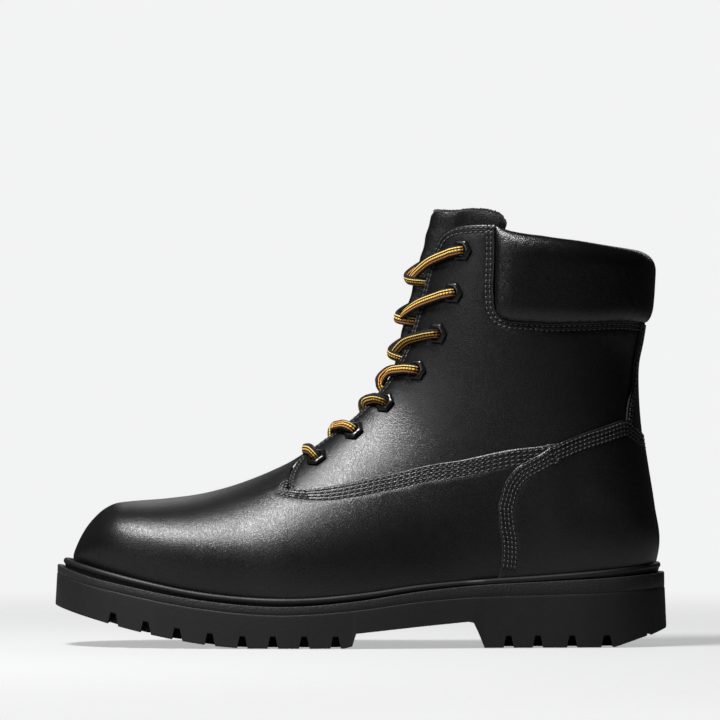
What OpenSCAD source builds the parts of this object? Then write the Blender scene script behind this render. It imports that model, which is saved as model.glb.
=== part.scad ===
// Lace-up safety work boot, six inches high, left foot, size EU 42.
// The toe points along -X, the lateral side is -Y, and the lugs stand on Z = 0.
// The upper is one lofted surface. Rings fan out from a point in front of the shin:
// a fan angle picks the ring (0 straight down, 90 level towards the heel), and a girth
// angle picks the point on it (0 on the ridge, 180 at the back or under the foot,
// negative on the lateral side). Leather and lining are sheets at depths from it.

/* [Upper] */
// Thickness of the outer leather
leather_t = 1.6; // [1.2:0.1:1.8]
// Thickness of the textile lining
lining_t = 0.8; // [0.5:0.1:0.9]
// Wall of the steel toe cap
steel_t = 1.7; // [1.2:0.1:1.7]
// Thickness of the moulded heel stiffener
stiffener_t = 1.3; // [1.0:0.1:1.4]
// How far the collar padding swells out
collar_swell = 4; // [2:0.5:5]

/* [Sole] */
// How far the sole stands out past the upper
sole_margin = 6.6; // [5:0.2:8]
// Depth of the grooves between the lugs
groove_depth = 6; // [4:0.5:7]
// Width of a groove at the ground
groove_w = 5; // [4:0.5:6]
// Depth of the perimeter lugs, inwards
lug_depth = 15; // [12:1:18]
// Thickness of the removable footbed
footbed_t = 5; // [3:0.5:6]

/* [Lacing] */
// Diameter of the lace
lace_d = 4.2; // [3:0.2:4.2]
// Width of an eyelet's hexagon across its corners
eyelet_w = 11.9; // [10:0.2:12]
// Radius of the hole through an eyelet
eyelet_bore_r = 2.9; // [2.6:0.1:3.0]

/* [Hidden] */
lateral = -1;
medial = 1;
clear = 0.4;

// ---- Smooth curves through points -------------------------------------------------

function slopes(x, y) = let (
    n = len(x),
    h = [for (i = [0:n - 2]) x[i + 1] - x[i]],
    d = [for (i = [0:n - 2]) (y[i + 1] - y[i]) / h[i]],
    mid = n == 2 ? [] : [for (i = [1:n - 2]) (d[i - 1] * h[i] + d[i] * h[i - 1]) / (h[i - 1] + h[i])])
    n == 2 ? [d[0], d[0]]
    : concat([1.5 * d[0] - 0.5 * mid[0]], mid, [1.5 * d[n - 2] - 0.5 * mid[n - 3]]);

function curve(points, k = 1) = let (
    x = [for (p = points) p[0]],
    y = [for (p = points) p[k]])
    [x, y, slopes(x, y)];

function span(x, v, i = 0) = i >= len(x) - 2 || v < x[i + 1] ? i : span(x, v, i + 1);

function at(c, v) = let (
    i = span(c[0], v),
    h = c[0][i + 1] - c[0][i],
    u = (v - c[0][i]) / h,
    w = 1 - u)
    w * w * (1 + 2 * u) * c[1][i] + u * w * w * h * c[2][i]
    + u * u * (3 - 2 * u) * c[1][i + 1] - u * u * w * h * c[2][i + 1];

function mix(a, b, u) = a + (b - a) * u;
function smooth(u) = let (v = min(max(u, 0), 1)) v * v * (3 - 2 * v);
function steps(n) = [for (i = [0:n]) i / n];

// A smooth path through points of any dimension, evenly numbered from 0 to 1
function path(points) = [for (k = [0:len(points[0]) - 1])
    curve([for (i = [0:len(points) - 1]) [i / (len(points) - 1), points[i][k]]])];
function along(p, u) = [for (c = p) at(c, u)];

// ---- The lofted surface of the upper -----------------------------------------------

fan_centre = [-150, 300];
toe_tip = [-146.6, 44.5];
// The ridge in side view: toe, vamp, instep, shin
front_line = [toe_tip, [-145, 50], [-142.5, 55.3], [-139.6, 60], [-135.6, 64.8],
    [-130.8, 69], [-125, 71.8], [-118, 72.8], [-98, 74.5], [-78, 77.5], [-58, 83.4],
    [-37, 92.8], [-16.4, 107], [0, 120.5], [11, 134.5], [17, 148], [22, 165],
    [29, 192], [35, 216], [41, 240], [50, 280]];
// The underside and the back in side view; below the feather line only the loft uses it
back_line = [toe_tip, [-145, 37], [-140, 28], [-130, 18], [-115, 10], [-90, 3],
    [-60, -2], [-30, -4], [0, -3], [40, 2], [80, 7], [110, 12], [130, 18], [142, 29],
    [147.5, 43], [149.5, 56], [148.3, 70], [145.2, 90], [142.5, 108], [140.9, 128],
    [141, 143], [143.5, 156], [145.5, 170], [147, 190], [148.5, 215], [150, 250],
    [151, 282]];
// Fan angle, half width lateral, half width medial, depth share of the widest point,
// roundness in front of it, roundness behind it, and the centre line's offset
girths = [
    [0.762, 0, 0, 0.42, 2, 2.2, 8],
    [0.9, 9, 9, 0.39, 2, 2.2, 8],
    [1.5, 17.5, 17.5, 0.37, 2, 2.2, 7.8],
    [2.5, 26, 25.5, 0.36, 2.05, 2.3, 7.5],
    [4, 33.5, 32.5, 0.36, 2.1, 2.3, 7],
    [6, 40, 38, 0.37, 2.15, 2.3, 6.3],
    [9, 45.5, 43, 0.4, 2.2, 2.4, 5.3],
    [13, 49, 46.5, 0.44, 2.15, 2.4, 4],
    [18, 51, 49, 0.48, 2.05, 2.4, 2],
    [23, 51.5, 48.5, 0.51, 1.95, 2.4, 0.5],
    [28, 49.5, 44.5, 0.54, 1.9, 2.4, -0.5],
    [33, 45, 39.5, 0.56, 1.85, 2.4, -1],
    [38, 40, 36.5, 0.58, 1.85, 2.4, -1],
    [43, 37.5, 36, 0.6, 1.85, 2.4, -1],
    [49, 37.5, 37, 0.6, 1.85, 2.4, -1],
    [55, 38, 37.5, 0.56, 1.9, 2.4, -1],
    [61, 38.5, 38.5, 0.52, 1.95, 2.3, -1],
    [67, 40, 40, 0.5, 2, 2.2, -1],
    [73, 41.5, 41.5, 0.5, 2.05, 2.2, -1],
    [84, 43, 43, 0.5, 2.1, 2.2, -1]];

fan_low = atan2(toe_tip[0] - fan_centre[0], fan_centre[1] - toe_tip[1]);
fan_high = 84;
// The toe closes like a round end, so its rings are spaced by the square root
function ease(fan) = sqrt(max(fan - fan_low, 0) / (fan_high - fan_low));
function fan_of(p) = atan2(p[0] - fan_centre[0], fan_centre[1] - p[1]);
function reach_of(p) = norm(p - fan_centre);
function outline_curve(points) = curve([for (p = points) [ease(fan_of(p)), reach_of(p)]]);
front_curve = outline_curve(front_line);
back_curve = outline_curve(back_line);
girth_curves = [for (k = [1:6]) curve([for (g = girths) [ease(g[0]), g[k]]])];

// A ring's facts: [fan, near reach, far reach, lateral, medial, share, front, rear, centre]
function ring(fan) = let (t = ease(fan))
    concat([fan, at(front_curve, t), at(back_curve, t)],
        [for (c = girth_curves) at(c, t)]);

function ring_point(r, girth) = let (
    g = girth > 180 ? girth - 360 : girth < -180 ? girth + 360 : girth,
    a = abs(g),
    half = g < 0 ? -r[3] : r[4],
    share = r[5],
    front = a <= 90,
    ca = abs(cos(a)),
    sa = abs(sin(a)),
    s = front ? share * (1 - pow(ca, 2 / r[6])) : share + (1 - share) * pow(ca, 2 / r[7]),
    y = half * (front ? pow(sa, 2 / r[6]) : pow(sa, 2 / r[7])),
    reach = mix(r[1], r[2], s))
    [fan_centre[0] + reach * sin(r[0]), r[8] + y, fan_centre[1] - reach * cos(r[0])];

nudge = 0.4;
function surface_normal(fan, girth) = let (
    f = max(fan, fan_low + 0.03),
    r = ring(f),
    da = ring_point(ring(f + nudge / 4), girth)
        - ring_point(ring(max(f - nudge / 4, fan_low + 0.001)), girth),
    db = ring_point(r, girth + nudge) - ring_point(r, girth - nudge),
    n = cross(da, db))
    n / max(norm(n), 1e-9);

// The point at a place [fan, girth] of the upper, a depth out from the surface
function point(place, depth = 0) =
    ring_point(ring(place[0]), place[1]) + surface_normal(place[0], place[1]) * depth;

// The place [fan, girth] that shows at a point [x, z] of the side view
function locate(p, side = medial) = let (
    r = ring(fan_of(p)),
    s = min(max((reach_of(p) - r[1]) / (r[2] - r[1]), 0), 1),
    a = s < r[5] ? acos(pow(1 - s / r[5], r[6] / 2))
        : 90 + asin(pow((s - r[5]) / (1 - r[5]), r[7] / 2)))
    [fan_of(p), side * a];
function located(points, side = medial) = [for (p = points) locate(p, side)];

// ---- Lines of the boot in side view ------------------------------------------------

// Feather line, where the upper meets the welt
feather = curve([[-149, 45.3], [-128.4, 39.6], [-108, 34.5], [-88, 30], [-68, 27],
    [-47, 25.5], [-27, 25.6], [0, 28], [31, 32.3], [63, 35], [94, 37], [125, 39.6],
    [151, 43]]);
// Top of the sole
sole_top = curve([[-160, 42.6], [-138.5, 35.6], [-118, 31], [-98, 26.9], [-78, 23.8],
    [-57, 21.6], [-42, 20.9], [-27, 21.3], [0, 23.9], [31, 28.6], [63, 31.8],
    [94, 33.4], [125, 35], [160, 37.8]]);
// Underside of the lugs, with the toe spring, and flat where it stands
forefoot_under = curve([[-160, 22], [-144, 16.8], [-133, 13.6], [-118, 9.6],
    [-104, 6.3], [-90, 3.6], [-76, 1.5], [-62, 0.2], [-58, 0]]);
waist_under = [[-8, 0], [-4, 1], [-2, 7.4], [31, 10.9], [55, 13.2], [57.5, 12.6],
    [59.6, 8.3], [61.2, 4.6], [63, 0], [128, 0], [146, 4.6], [160, 10]];
// Height of the midsole's edge
function midsole_h(x) = mix(4.2, 7.6, smooth((x + 40) / 200));

function feather_girth(fan, side, low = 20, high = 180, n = 26, drop = 0) = let (
    mid = (low + high) / 2,
    p = ring_point(ring(fan), side * mid))
    n == 0 ? mid
    : p[2] < at(feather, p[0]) - drop ? feather_girth(fan, side, low, mid, n - 1, drop)
    : feather_girth(fan, side, mid, high, n - 1, drop);

// Where the sheets of the upper end, a little under the feather line
sheet_drop = 2.1;
heel_fan = 48.75;
function hem(fan, side) = [fan, side * (fan > heel_fan ? 180
    : min(177, feather_girth(fan, side, drop = sheet_drop)))];

// The seams, as points of the side view
junction = [-38, 79.5];
vamp_seam = [junction, [-28, 78.8], [-5.6, 82.4], [12.8, 86.5], [40, 92.9],
    [72, 99.3], [100, 103.3]];
patch_edge = [[70.3, 64], [71.4, 76], [75.5, 86], [83.8, 93.7], [100, 102.9],
    [113, 108.4], [126, 112.7], [134, 114.8], [139, 110.5]];
patch_back_z = 107.5;
// The facing, where the eyelets stand: fan angle and girth angle of its front edge
facing_edge = curve([[27, 34], [27.7, 29], [29, 15], [31, 9], [35, 8], [40, 8.5],
    [43, 10], [45.4, 12.5], [47.6, 15.5], [50, 18], [52.6, 20], [55.1, 21.5], [57.8, 23],
    [60.2, 24], [63.2, 26.6], [67, 29]]);
quarter_top = [[38.6, 203.5], [41, 208.5], [46, 212.3], [54, 213.9], [68, 214.2]];
collar_front_x = 68;
collar_seam = [[68, 214.2], [68, 197], [67.6, 178.7], [68.6, 170.8], [73, 166.6],
    [84, 165.2], [112, 164.9], [134, 165.6]];
collar_seam_back_z = 165;
collar_top = [[68.6, 213.8], [75, 211.4], [84.5, 209.6], [98, 207.8], [112, 206],
    [126, 203.8], [137, 201.4], [144, 198.6]];
collar_top_back_z = 195;
eyelet_spots = [[-22, 95.6], [-3.2, 109.3], [12.8, 123.9], [28.8, 140.3], [39.3, 158.9],
    [47.1, 179.7], [51.7, 201.2]];

function back_place(z, side = medial, low = fan_low + 40, high = fan_high, n = 24) = let (
    mid = (low + high) / 2,
    p = ring_point(ring(mid), 180))
    n == 0 ? [mid, side * 180]
    : p[2] < z ? back_place(z, side, mid, high, n - 1) : back_place(z, side, low, mid, n - 1);

// ---- Sheets over a grid of places --------------------------------------------------

function every(rows, cols) = [for (i = [0:rows - 2]) [for (j = [0:cols - 2]) true]];

// A closed sheet between two grids of points; keep marks the cells that exist
module between(outer, inner, keep = undef) {
    rows = len(outer);
    cols = len(outer[0]);
    cells = is_undef(keep) ? every(rows, cols) : keep;
    half = rows * cols;
    k = [floor(rows / 2), 1];
    o = outer[k[0]][k[1]];
    flip = cross(outer[k[0] + 1][k[1]] - o, outer[k[0]][k[1] + 1] - o)
        * (o - inner[k[0]][k[1]]) > 0;
    function id(p, inside = 0) = p[0] * cols + p[1] + inside * half;
    function on(i, j) = i >= 0 && j >= 0 && i < rows - 1 && j < cols - 1 && cells[i][j];
    function quad(a, b, c, d) = flip ? [[c, b, a], [d, c, a]] : [[a, b, c], [a, c, d]];
    faces = [for (i = [0:rows - 2]) for (j = [0:cols - 2]) if (on(i, j)) let (
        a = [i, j], b = [i + 1, j], c = [i + 1, j + 1], d = [i, j + 1])
        each concat(quad(id(a), id(b), id(c), id(d)),
            quad(id(a, 1), id(d, 1), id(c, 1), id(b, 1)),
            [for (e = [[a, b, on(i, j - 1)], [b, c, on(i + 1, j)], [c, d, on(i, j + 1)],
                [d, a, on(i - 1, j)]]) if (!e[2])
                each quad(id(e[1]), id(e[0]), id(e[0], 1), id(e[1], 1))])];
    polyhedron([for (row = concat(outer, inner)) each row], faces);
}

// A sheet of even thickness over a grid of places
module sheet(places, outer_d, inner_d, keep = undef)
    between([for (row = places) [for (p = row) point(p, outer_d)]],
        [for (row = places) [for (p = row) point(p, inner_d)]], keep);

// Places between two edges that are walked together
function ruled(edge_a, edge_b, n, m, bend = 1) = let (a = path(edge_a), b = path(edge_b))
    [for (u = steps(n)) [for (v = steps(m)) mix(along(a, u), along(b, u), pow(v, bend))]];

// Places inside four edges: low and high run together, and so do near and far
function coons(low, high, near, far, n, m) = let (
    a = path(low), b = path(high), c = path(near), d = path(far))
    [for (u = steps(n)) [for (v = steps(m)) let (
        p = along(a, u), q = along(b, u), r = along(c, v), s = along(d, v))
        mix(p, q, v) + mix(r, s, u)
        - mix(mix(low[0], low[len(low) - 1], u), mix(high[0], high[len(high) - 1], u), v)]];

// ---- Vamp, toe cap and linings -------------------------------------------------------

// Rows of the toe are packed towards its tip
function toe_rows(last, n) = [for (i = [0:n])
    fan_low + 0.05 + (last - fan_low - 0.05) * pow(i / n, 1.8)];
// A full arch of places from hem to hem
function arch(fans, m, low = 0) = [for (f = fans) let (
    a = hem(f, lateral)[1], b = hem(f, medial)[1])
    [for (v = steps(m)) let (k = 2 * v - 1) [f, k < 0 ? -k * a : k * b]]];

throat_fan = 27.2;
wing_share = 6; // columns of each wing
wing_rows = 14;
arch_cols = 22;

// The wings run back from the throat under the heel patch
function wing_row(u, side) = let (
    seam = along(path(located(vamp_seam, side)), u),
    low = hem(mix(throat_fan, 42.5, u), side))
    [for (v = steps(wing_share)) mix(seam, low, v)];

function vamp_places() = let (
    fans = toe_rows(throat_fan, 16),
    seam = abs(locate(vamp_seam[0])[1]))
    concat(
        [for (f = fans) let (
            a = hem(f, lateral)[1], b = hem(f, medial)[1],
            cut = mix(abs(a) * 0.3, seam, smooth((f - 3) / (throat_fan - 3))))
            [for (v = steps(wing_share)) [f, mix(a, -cut, v)],
            for (v = [1:arch_cols - 2 * wing_share - 1])
                [f, mix(-cut, cut, v / (arch_cols - 2 * wing_share))],
            for (v = steps(wing_share)) [f, mix(cut, b, v)]]],
        [for (i = [1:wing_rows]) let (
            a = wing_row(i / wing_rows, lateral), b = wing_row(i / wing_rows, medial))
            [for (v = [wing_share:-1:0]) a[v],
            for (v = [1:arch_cols - 2 * wing_share - 1])
                mix(a[0], b[0], v / (arch_cols - 2 * wing_share)),
            for (v = [0:wing_share]) b[v]]]);

function vamp_cells() = [for (i = [0:16 + wing_rows - 1]) [for (j = [0:arch_cols - 1])
    i < 16 || j < wing_share || j >= arch_cols - wing_share]];

module vamp() color("#1b1b1c")
    sheet(vamp_places(), clear + leather_t, clear, vamp_cells());

cap_fan = 13.6;
module toe_cap() color("#9a9c9e")
    sheet(arch(toe_rows(cap_fan, 12), 18), -0.1, -0.1 - steel_t);

module toe_cap_gasket() color("#303030")
    sheet(arch([cap_fan + 0.1, cap_fan + 0.8, cap_fan + 1.5], 18), -0.1, -2.6);

lining_d = -2.9;
toe_lining_d = -2.9;
module vamp_lining() color("#3a3a3c")
    sheet(arch(toe_rows(throat_fan - 0.4, 14), 18), toe_lining_d, toe_lining_d - lining_t);

// ---- Quarters, facings and shaft lining ----------------------------------------------

function facing_places(low, high, n, side, extra = 0) = [for (u = steps(n))
    let (f = mix(low, high, u)) [f, side * (at(facing_edge, f) + extra)]];

quarter_foot = [[-34, 73], [-6, 73], [22, 77], [50, 80], [66, 72], [72, 54]];
quarter_hem_fans = [40.2, 42.5, 44.7, 46.4, 47.6, 48.4];

function quarter_low(side) = concat(located(quarter_foot, side),
    [for (f = quarter_hem_fans) hem(f, side)], [[heel_fan, side * 180]]);
function quarter_high(side) = concat(located(quarter_top, side),
    located([for (i = [1:len(collar_seam) - 1]) collar_seam[i]], side),
    [back_place(collar_seam_back_z, side)]);
function quarter_near(side) = let (
    low = locate(quarter_foot[0], side), high = locate(quarter_top[0], side))
    concat([low], facing_places(throat_fan + 0.6, 62, 12, side), [high]);

function quarter_places(side) = let (
    low = quarter_low(side), high = quarter_high(side))
    coons(low, high, quarter_near(side), [low[len(low) - 1], high[len(high) - 1]], 22, 12);

module quarter(side) color("#1b1b1c") difference() {
    sheet(quarter_places(side), 0, -leather_t);
    eyelet_holes(side);
}

eyestay_back = [[-24, 84], [-2, 96], [20, 110], [38, 130], [51, 155], [58, 180], [61, 206]];
module eyestay(side) color("#2a2a2b") difference() {
    sheet(ruled(facing_places(throat_fan + 2.4, 63, 14, side, 1), located(eyestay_back, side),
        14, 4), -leather_t - 0.3, -leather_t - 1.1);
    eyelet_holes(side);
}

// The lining is one piece that runs round the back, from behind one row of eyelets
// to behind the other
shaft_lining_d = -3.5;
lining_top = [[62, 210.5], [67, 210.5]];
lining_foot = [[-24, 84], [-28.5, 74], [-25, 60], [-18.5, 47], [-11, 34], [-5, 28]];
function below(points, by) = [for (p = points) p - [0, by]];
function tail(list) = [for (i = [1:len(list) - 1]) list[i]];
function reversed(list) = [for (i = [len(list) - 1:-1:0]) list[i]];
function both(places_of) = concat(places_of(lateral), tail(reversed(places_of(medial))));

function lining_places(side) = let (
    low = concat(located(lining_foot, side),
        [for (f = [33, 37, 41, 44, 46.2, 47.6, 48.4]) hem(f, side)], [[heel_fan, side * 180]]),
    high = concat(located(lining_top, side), located(below(tail(collar_seam), 1.5), side),
        [back_place(collar_seam_back_z - 1.5, side)]),
    near = concat([low[0]], located(tail(eyestay_back), side), [high[0]]),
    far = [low[len(low) - 1], high[len(high) - 1]])
    coons(low, high, near, far, 18, 10);
module shaft_lining() color("#3a3a3c")
    sheet(both(function (side) lining_places(side)), shaft_lining_d,
        shaft_lining_d - lining_t);

// ---- Heel and collar -------------------------------------------------------------------

function heel_places(side, low_fans, front, top, back_z, n, m) = let (
    low = concat([for (f = low_fans) hem(f, side)], [[heel_fan, side * 180]]),
    high = concat(located(top, side), [back_place(back_z, side)]),
    near = concat([low[0]], located(front, side), [high[0]]),
    far = [low[len(low) - 1], high[len(high) - 1]])
    coons(low, high, near, far, n, m);

module heel_patch() color("#19191a")
    sheet(both(function (side) heel_places(side, [39.4, 42, 44.3, 46.2, 47.5, 48.4],
        [for (i = [0:2]) patch_edge[i]], [for (i = [3:8]) patch_edge[i]], patch_back_z,
        16, 12)), 2.35 + leather_t, 2.35);

module heel_stiffener() color("#c8c2b4")
    sheet(both(function (side) heel_places(side, [41, 43, 45.2, 47, 48.3],
        [[82, 50], [84, 66]], [[91, 78], [104, 84], [118, 88], [132, 90]], 91, 12, 8)),
        -leather_t - 0.35, -leather_t - 0.35 - stiffener_t);

// The strip up the back, between the heel patch and the collar
backstay_edge = [[134.6, 106], [135, 116.6], [135.9, 124], [138.6, 136.8], [141.6, 156],
    [142.8, 162.6]];
module backstay() color("#19191a") let (
    edge = located(backstay_edge, medial),
    rows = path(edge))
    sheet([for (u = steps(10)) let (p = along(rows, u))
        [for (v = steps(8)) [p[0], mix(p[1], 360 - p[1], v)]]], 0.3 + 1.4, 0.3);

// The collar is a padded roll: out over the quarters, over the top, and down inside.
// Its place on the upper runs over u from front to front and over v from seam to top.
collar_in = -8;
collar_mid = -1.8;
collar_n = 12;
function above(points, by) = [for (p = points) p + by];
function collar_base(side) = let (
    low = concat(located(above([for (i = [3:7]) collar_seam[i]], [0.6, 0.7]), side),
        [back_place(collar_seam_back_z + 0.7, side)]),
    high = concat(located(collar_top, side), [back_place(collar_top_back_z, side)]),
    near = concat([low[0]], located([[68.4, 178.7], [68.5, 190], [68.6, 202]], side), [high[0]]),
    far = [low[len(low) - 1], high[len(high) - 1]])
    coons(low, high, near, far, collar_n, 12);
function roll_place(row, v) = let (k = min(max(v, 0), 1) * 12, i = min(floor(k), 11))
    mix(row[i], row[i + 1], k - i);
// w runs over the section, from the outer seam (1) over the top (0) to the inner seam (-1)
function roll_point(row, u, w, trim) = let (
    out = w >= 0,
    s = out ? 1 : -1,
    a = abs(w),
    turn = min(a / 0.4, 1) * 90,
    v = a < 0.4 ? 0.76 + (0.24 - trim / 38) * cos(turn) : 0.76 * (1 - (a - 0.4) / 0.6),
    foot = sqrt(1 - pow(1 - min(v / 0.25, 1), 2)),
    full = out ? collar_swell : collar_in,
    edge = out ? 0.2 : -4.3,
    e = min(u / 0.14, (1 - u) / 0.14, 1),
    end = sqrt(1 - (1 - e) * (1 - e)),
    d = a < 0.4 ? collar_mid + (full - collar_mid - s * trim) * sin(turn)
        : mix(edge, full, foot) - s * trim)
    point(roll_place(row, v), mix(edge - s * trim, d, end));
function roll_grid(trim, ws) = let (rows = both(function (side) collar_base(side)),
    n = len(rows) - 1)
    [for (i = [0:n]) [for (w = ws) roll_point(rows[i], i / n, w, trim)]];
roll_steps = [0.03, 0.1, 0.2, 0.3, 0.4, 0.6, 0.8, 0.92, 1];
module collar_cover() color("#1b1b1c") let (
    ws = concat(reversed(roll_steps), -1 * roll_steps))
    between(roll_grid(0, ws), roll_grid(1, ws));
module collar_foam() color("#e6dcb4")
    between(roll_grid(1.3, roll_steps), roll_grid(1.3, -1 * roll_steps));

// ---- Tongue ----------------------------------------------------------------------------

// Depth of its face on the ridge, and under the facings where the lace needs room
tongue_mid = curve([[25.6, 0.2], [27, -0.3], [29, -2.5], [31, -4.6], [34, -5], [43, -5],
    [47, -3], [51, -1.9], [60, -1.9], [72, -1.9]]);
tongue_side = curve([[25.6, -0.6], [26.8, -1.4], [27.6, -2.2], [29, -5.5], [31, -8.6],
    [34, -9.3], [60, -9.4], [66, -9.2], [69, -8], [72, -7]]);
tongue_half = curve([[25.6, 36], [30, 38], [45, 46], [58, 60], [66, 68], [70, 70]]);
tongue_top_fan = curve([[0, 67.5], [25, 68.4], [45, 69.5], [58, 70.2], [65, 70.2], [72, 68.6]]);
tongue_pad = curve([[25.6, 0.3], [29, 2], [34, 5], [45, 7], [62, 8], [68, 6.5], [70, 5]]);

function tongue_depth(f, g) = let (
    e = at(facing_edge, min(max(f, 27), 67)),
    s = smooth(abs(g) / max(e, 9)))
    mix(at(tongue_mid, f), at(tongue_side, f), s);
function tongue_places(n, m, low) = [for (u = steps(n)) [for (v = steps(m)) let (
    k = 2 * v - 1,
    w = at(tongue_half, mix(low, 66, u)),
    g = k * w,
    f = mix(low, at(tongue_top_fan, abs(g)), u))
    [f, g]]];
tongue_root = 29.4;
module tongue_sheet(n, m, low, top_d, bottom_d) let (places = tongue_places(n, m, low))
    between([for (row = places) [for (p = row) point(p, top_d(p))]],
        [for (row = places) [for (p = row) point(p, bottom_d(p))]]);

tongue_t = 1.2;
module tongue_leather() color("#161617")
    tongue_sheet(16, 14, tongue_root, function (p) tongue_depth(p[0], p[1]),
        function (p) tongue_depth(p[0], p[1]) - tongue_t);
// The root that is sewn under the vamp stays still when the tongue swings
module tongue_base() color("#161617") let (
    places = [for (f = [25.6, 26.4, 27.2, 28, tongue_root - 0.5])
        [for (v = steps(12)) [f, (2 * v - 1) * at(tongue_half, f)]]])
    between([for (row = places) [for (q = row) point(q, tongue_depth(q[0], q[1]))]],
        [for (row = places) [for (q = row) point(q, tongue_depth(q[0], q[1]) - tongue_t)]]);
function pad_at(p) = let (half = at(tongue_half, min(p[0], 68)))
    at(tongue_pad, p[0]) * (0.35 + 0.65 * sqrt(max(1 - pow(p[1] / (half * 1.02), 2), 0)));
module tongue_foam() color("#e6dcb4")
    tongue_sheet(16, 14, tongue_root, function (p) tongue_depth(p[0], p[1]) - tongue_t - 0.1,
        function (p) tongue_depth(p[0], p[1]) - tongue_t - 0.1 - pad_at(p));
module tongue_lining() color("#2e2e30")
    tongue_sheet(16, 14, tongue_root, function (p) tongue_depth(p[0], p[1]) - tongue_t - 0.2 - pad_at(p),
        function (p) tongue_depth(p[0], p[1]) - tongue_t - 0.2 - pad_at(p) - lining_t);

// ---- Eyelets ---------------------------------------------------------------------------

// Puts its children on an eyelet's spot, with +Z pointing out of the leather
module on_eyelet(spot, side) {
    place = locate(spot, side);
    at_spot = point(place);
    n = surface_normal(place[0], place[1]);
    translate(at_spot) rotate([0, acos(n[2]), atan2(n[1], n[0])]) rotate(30) children();
}
barrel_r = eyelet_bore_r + 0.5;
flange_lift = 0.6;
module eyelet_holes(side) for (spot = eyelet_spots) on_eyelet(spot, side)
    translate([0, 0, -6]) cylinder(r = barrel_r + 0.15, h = 9, $fn = 32);
module eyelets(side) color("#101011") for (spot = eyelet_spots) on_eyelet(spot, side)
    difference() {
        union() {
            translate([0, 0, flange_lift]) cylinder(d = eyelet_w, h = 1.4, $fn = 6);
            translate([0, 0, -3.7]) cylinder(r = barrel_r, h = 4.5, $fn = 32);
        }
        translate([0, 0, -5]) cylinder(r = eyelet_bore_r, h = 9, $fn = 32);
    }
module eyelet_washers(side) color("#1c1c1d") for (spot = eyelet_spots) on_eyelet(spot, side)
    difference() {
        translate([0, 0, -4]) cylinder(r = 5, h = 0.6, $fn = 32);
        translate([0, 0, -5]) cylinder(r = barrel_r + 0.1, h = 4, $fn = 32);
    }

// ---- Lace ------------------------------------------------------------------------------

// Where the runs cross on the ridge, half way down to the next pair of eyelets
cross_fans = [35.2, 40.6, 44.5, 48.3, 53, 58.6];
// The way over from inside one eyelet, across the tongue, to the next one opposite
function hop(n, side, high) = let (
    a = locate(eyelet_spots[n], side),
    b = locate(eyelet_spots[n + 1], -side),
    fm = cross_fans[n],
    fa = mix(a[0], fm, 1 - at(facing_edge, a[0]) / abs(a[1])),
    fb = mix(b[0], fm, pow(1 - at(facing_edge, b[0]) / abs(b[1]), 1.4)),
    ea = [fa, side * at(facing_edge, fa)], eb = [fb, -side * at(facing_edge, fb)],
    mid = max(at(tongue_mid, fm) + 2.5, -0.8) + (high ? 4.6 : 0))
    [point(a, -2), lead(a, ea, 1.2, -5.6), lead(a, ea, 5.5, -6.25),
        point(ea, -4.9), point([fm, 0], mid), point(eb, high ? 3.6 : 2.6),
        lead(b, eb, 6.6, 3.9), lead(b, eb, 3.2, 4.3), point(b, 2.4)];
function strand(n, side) = n > 5 ? [] : concat(hop(n, side, side == lateral),
    strand(n + 1, -side));
// A point a distance from an eyelet towards an edge of the facing
function lead(a, edge, far, depth) =
    point(mix(a, edge, min(far / norm(point(a) - point(edge)), 0.8)), depth);
function bar(side) = let (
    a = locate(eyelet_spots[0], side), e = [a[0] - 0.7, side * at(facing_edge, a[0])])
    [point(e, 3), lead(a, e, 6.6, 3.9), lead(a, e, 3.2, 4.3), point(a, 2.4)];
function lace_line() = let (last = len(eyelet_spots) - 1)
    concat([point(locate(eyelet_spots[last], lateral), -2)], reversed(strand(0, lateral)),
        reversed(bar(lateral)), bar(medial), strand(0, medial),
        [point(locate(eyelet_spots[last], medial), -2)]);

// A tube along a line of points, its rings carried along without twist
function carry(line, n, i, last) = let (
    d = line[min(i + 1, last)] - line[max(i - 1, 0)],
    t = d / norm(d),
    m = n - t * (n * t))
    m / norm(m);
module tube(line, r, sides = 8) {
    last = len(line) - 1;
    normals = [for (i = 0, n = carry(line, [0.31, 0.11, 0.94], 0, last); i <= last;
        i = i + 1, n = carry(line, n, i, last)) n];
    rings = [for (i = [0:last]) let (
        d = line[min(i + 1, last)] - line[max(i - 1, 0)],
        b = cross(d / norm(d), normals[i]))
        for (k = [0:sides - 1]) let (w = 360 * k / sides)
            line[i] + r * (cos(w) * normals[i] + sin(w) * b)];
    polyhedron(rings, concat(
        [for (i = [0:last - 1]) for (k = [0:sides - 1]) let (
            a = i * sides + k, b = i * sides + (k + 1) % sides)
            each [[a, b + sides, b], [a, a + sides, b + sides]]],
        [[for (k = [0:sides - 1]) k]],
        [[for (k = [sides - 1:-1:0]) last * sides + k]]));
}
function smoothed(points, per) = let (p = path(points), n = (len(points) - 1) * per)
    [for (i = [0:n]) along(p, i / n)];

module lace() color("#232323") tube(smoothed(lace_line(), 2), lace_d / 2, 7);

function lace_end_line(side) = let (e7 = locate(eyelet_spots[6], side))
    concat([point(e7, -2.7), point([e7[0] - 0.1, e7[1] + side * 1.2], -5)],
        [for (p = [[63.2, 51.5, -6.4], [61.6, 55, -6.7], [58.5, 57, -6.7], [55, 56.5, -6.8],
            [51.5, 56.5, -7.3], [48.5, 60, -9], [45.8, 66, -11], [43.4, 71, -12]])
            point([p[0], side * p[1]], p[2])]);
module lace_end(side) color("#232323") tube(smoothed(lace_end_line(side), 3), lace_d / 2);
module aglet(side) color("#2b2b2b") {
    line = lace_end_line(side);
    tip = line[len(line) - 1];
    d = tip - line[len(line) - 2];
    t = d / norm(d);
    translate(tip + t * 0.1) rotate([0, acos(t[2]), atan2(t[1], t[0])])
        cylinder(d = lace_d - 0.4, h = 15, $fn = 24);
}

// ---- Bottom ----------------------------------------------------------------------------

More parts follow.
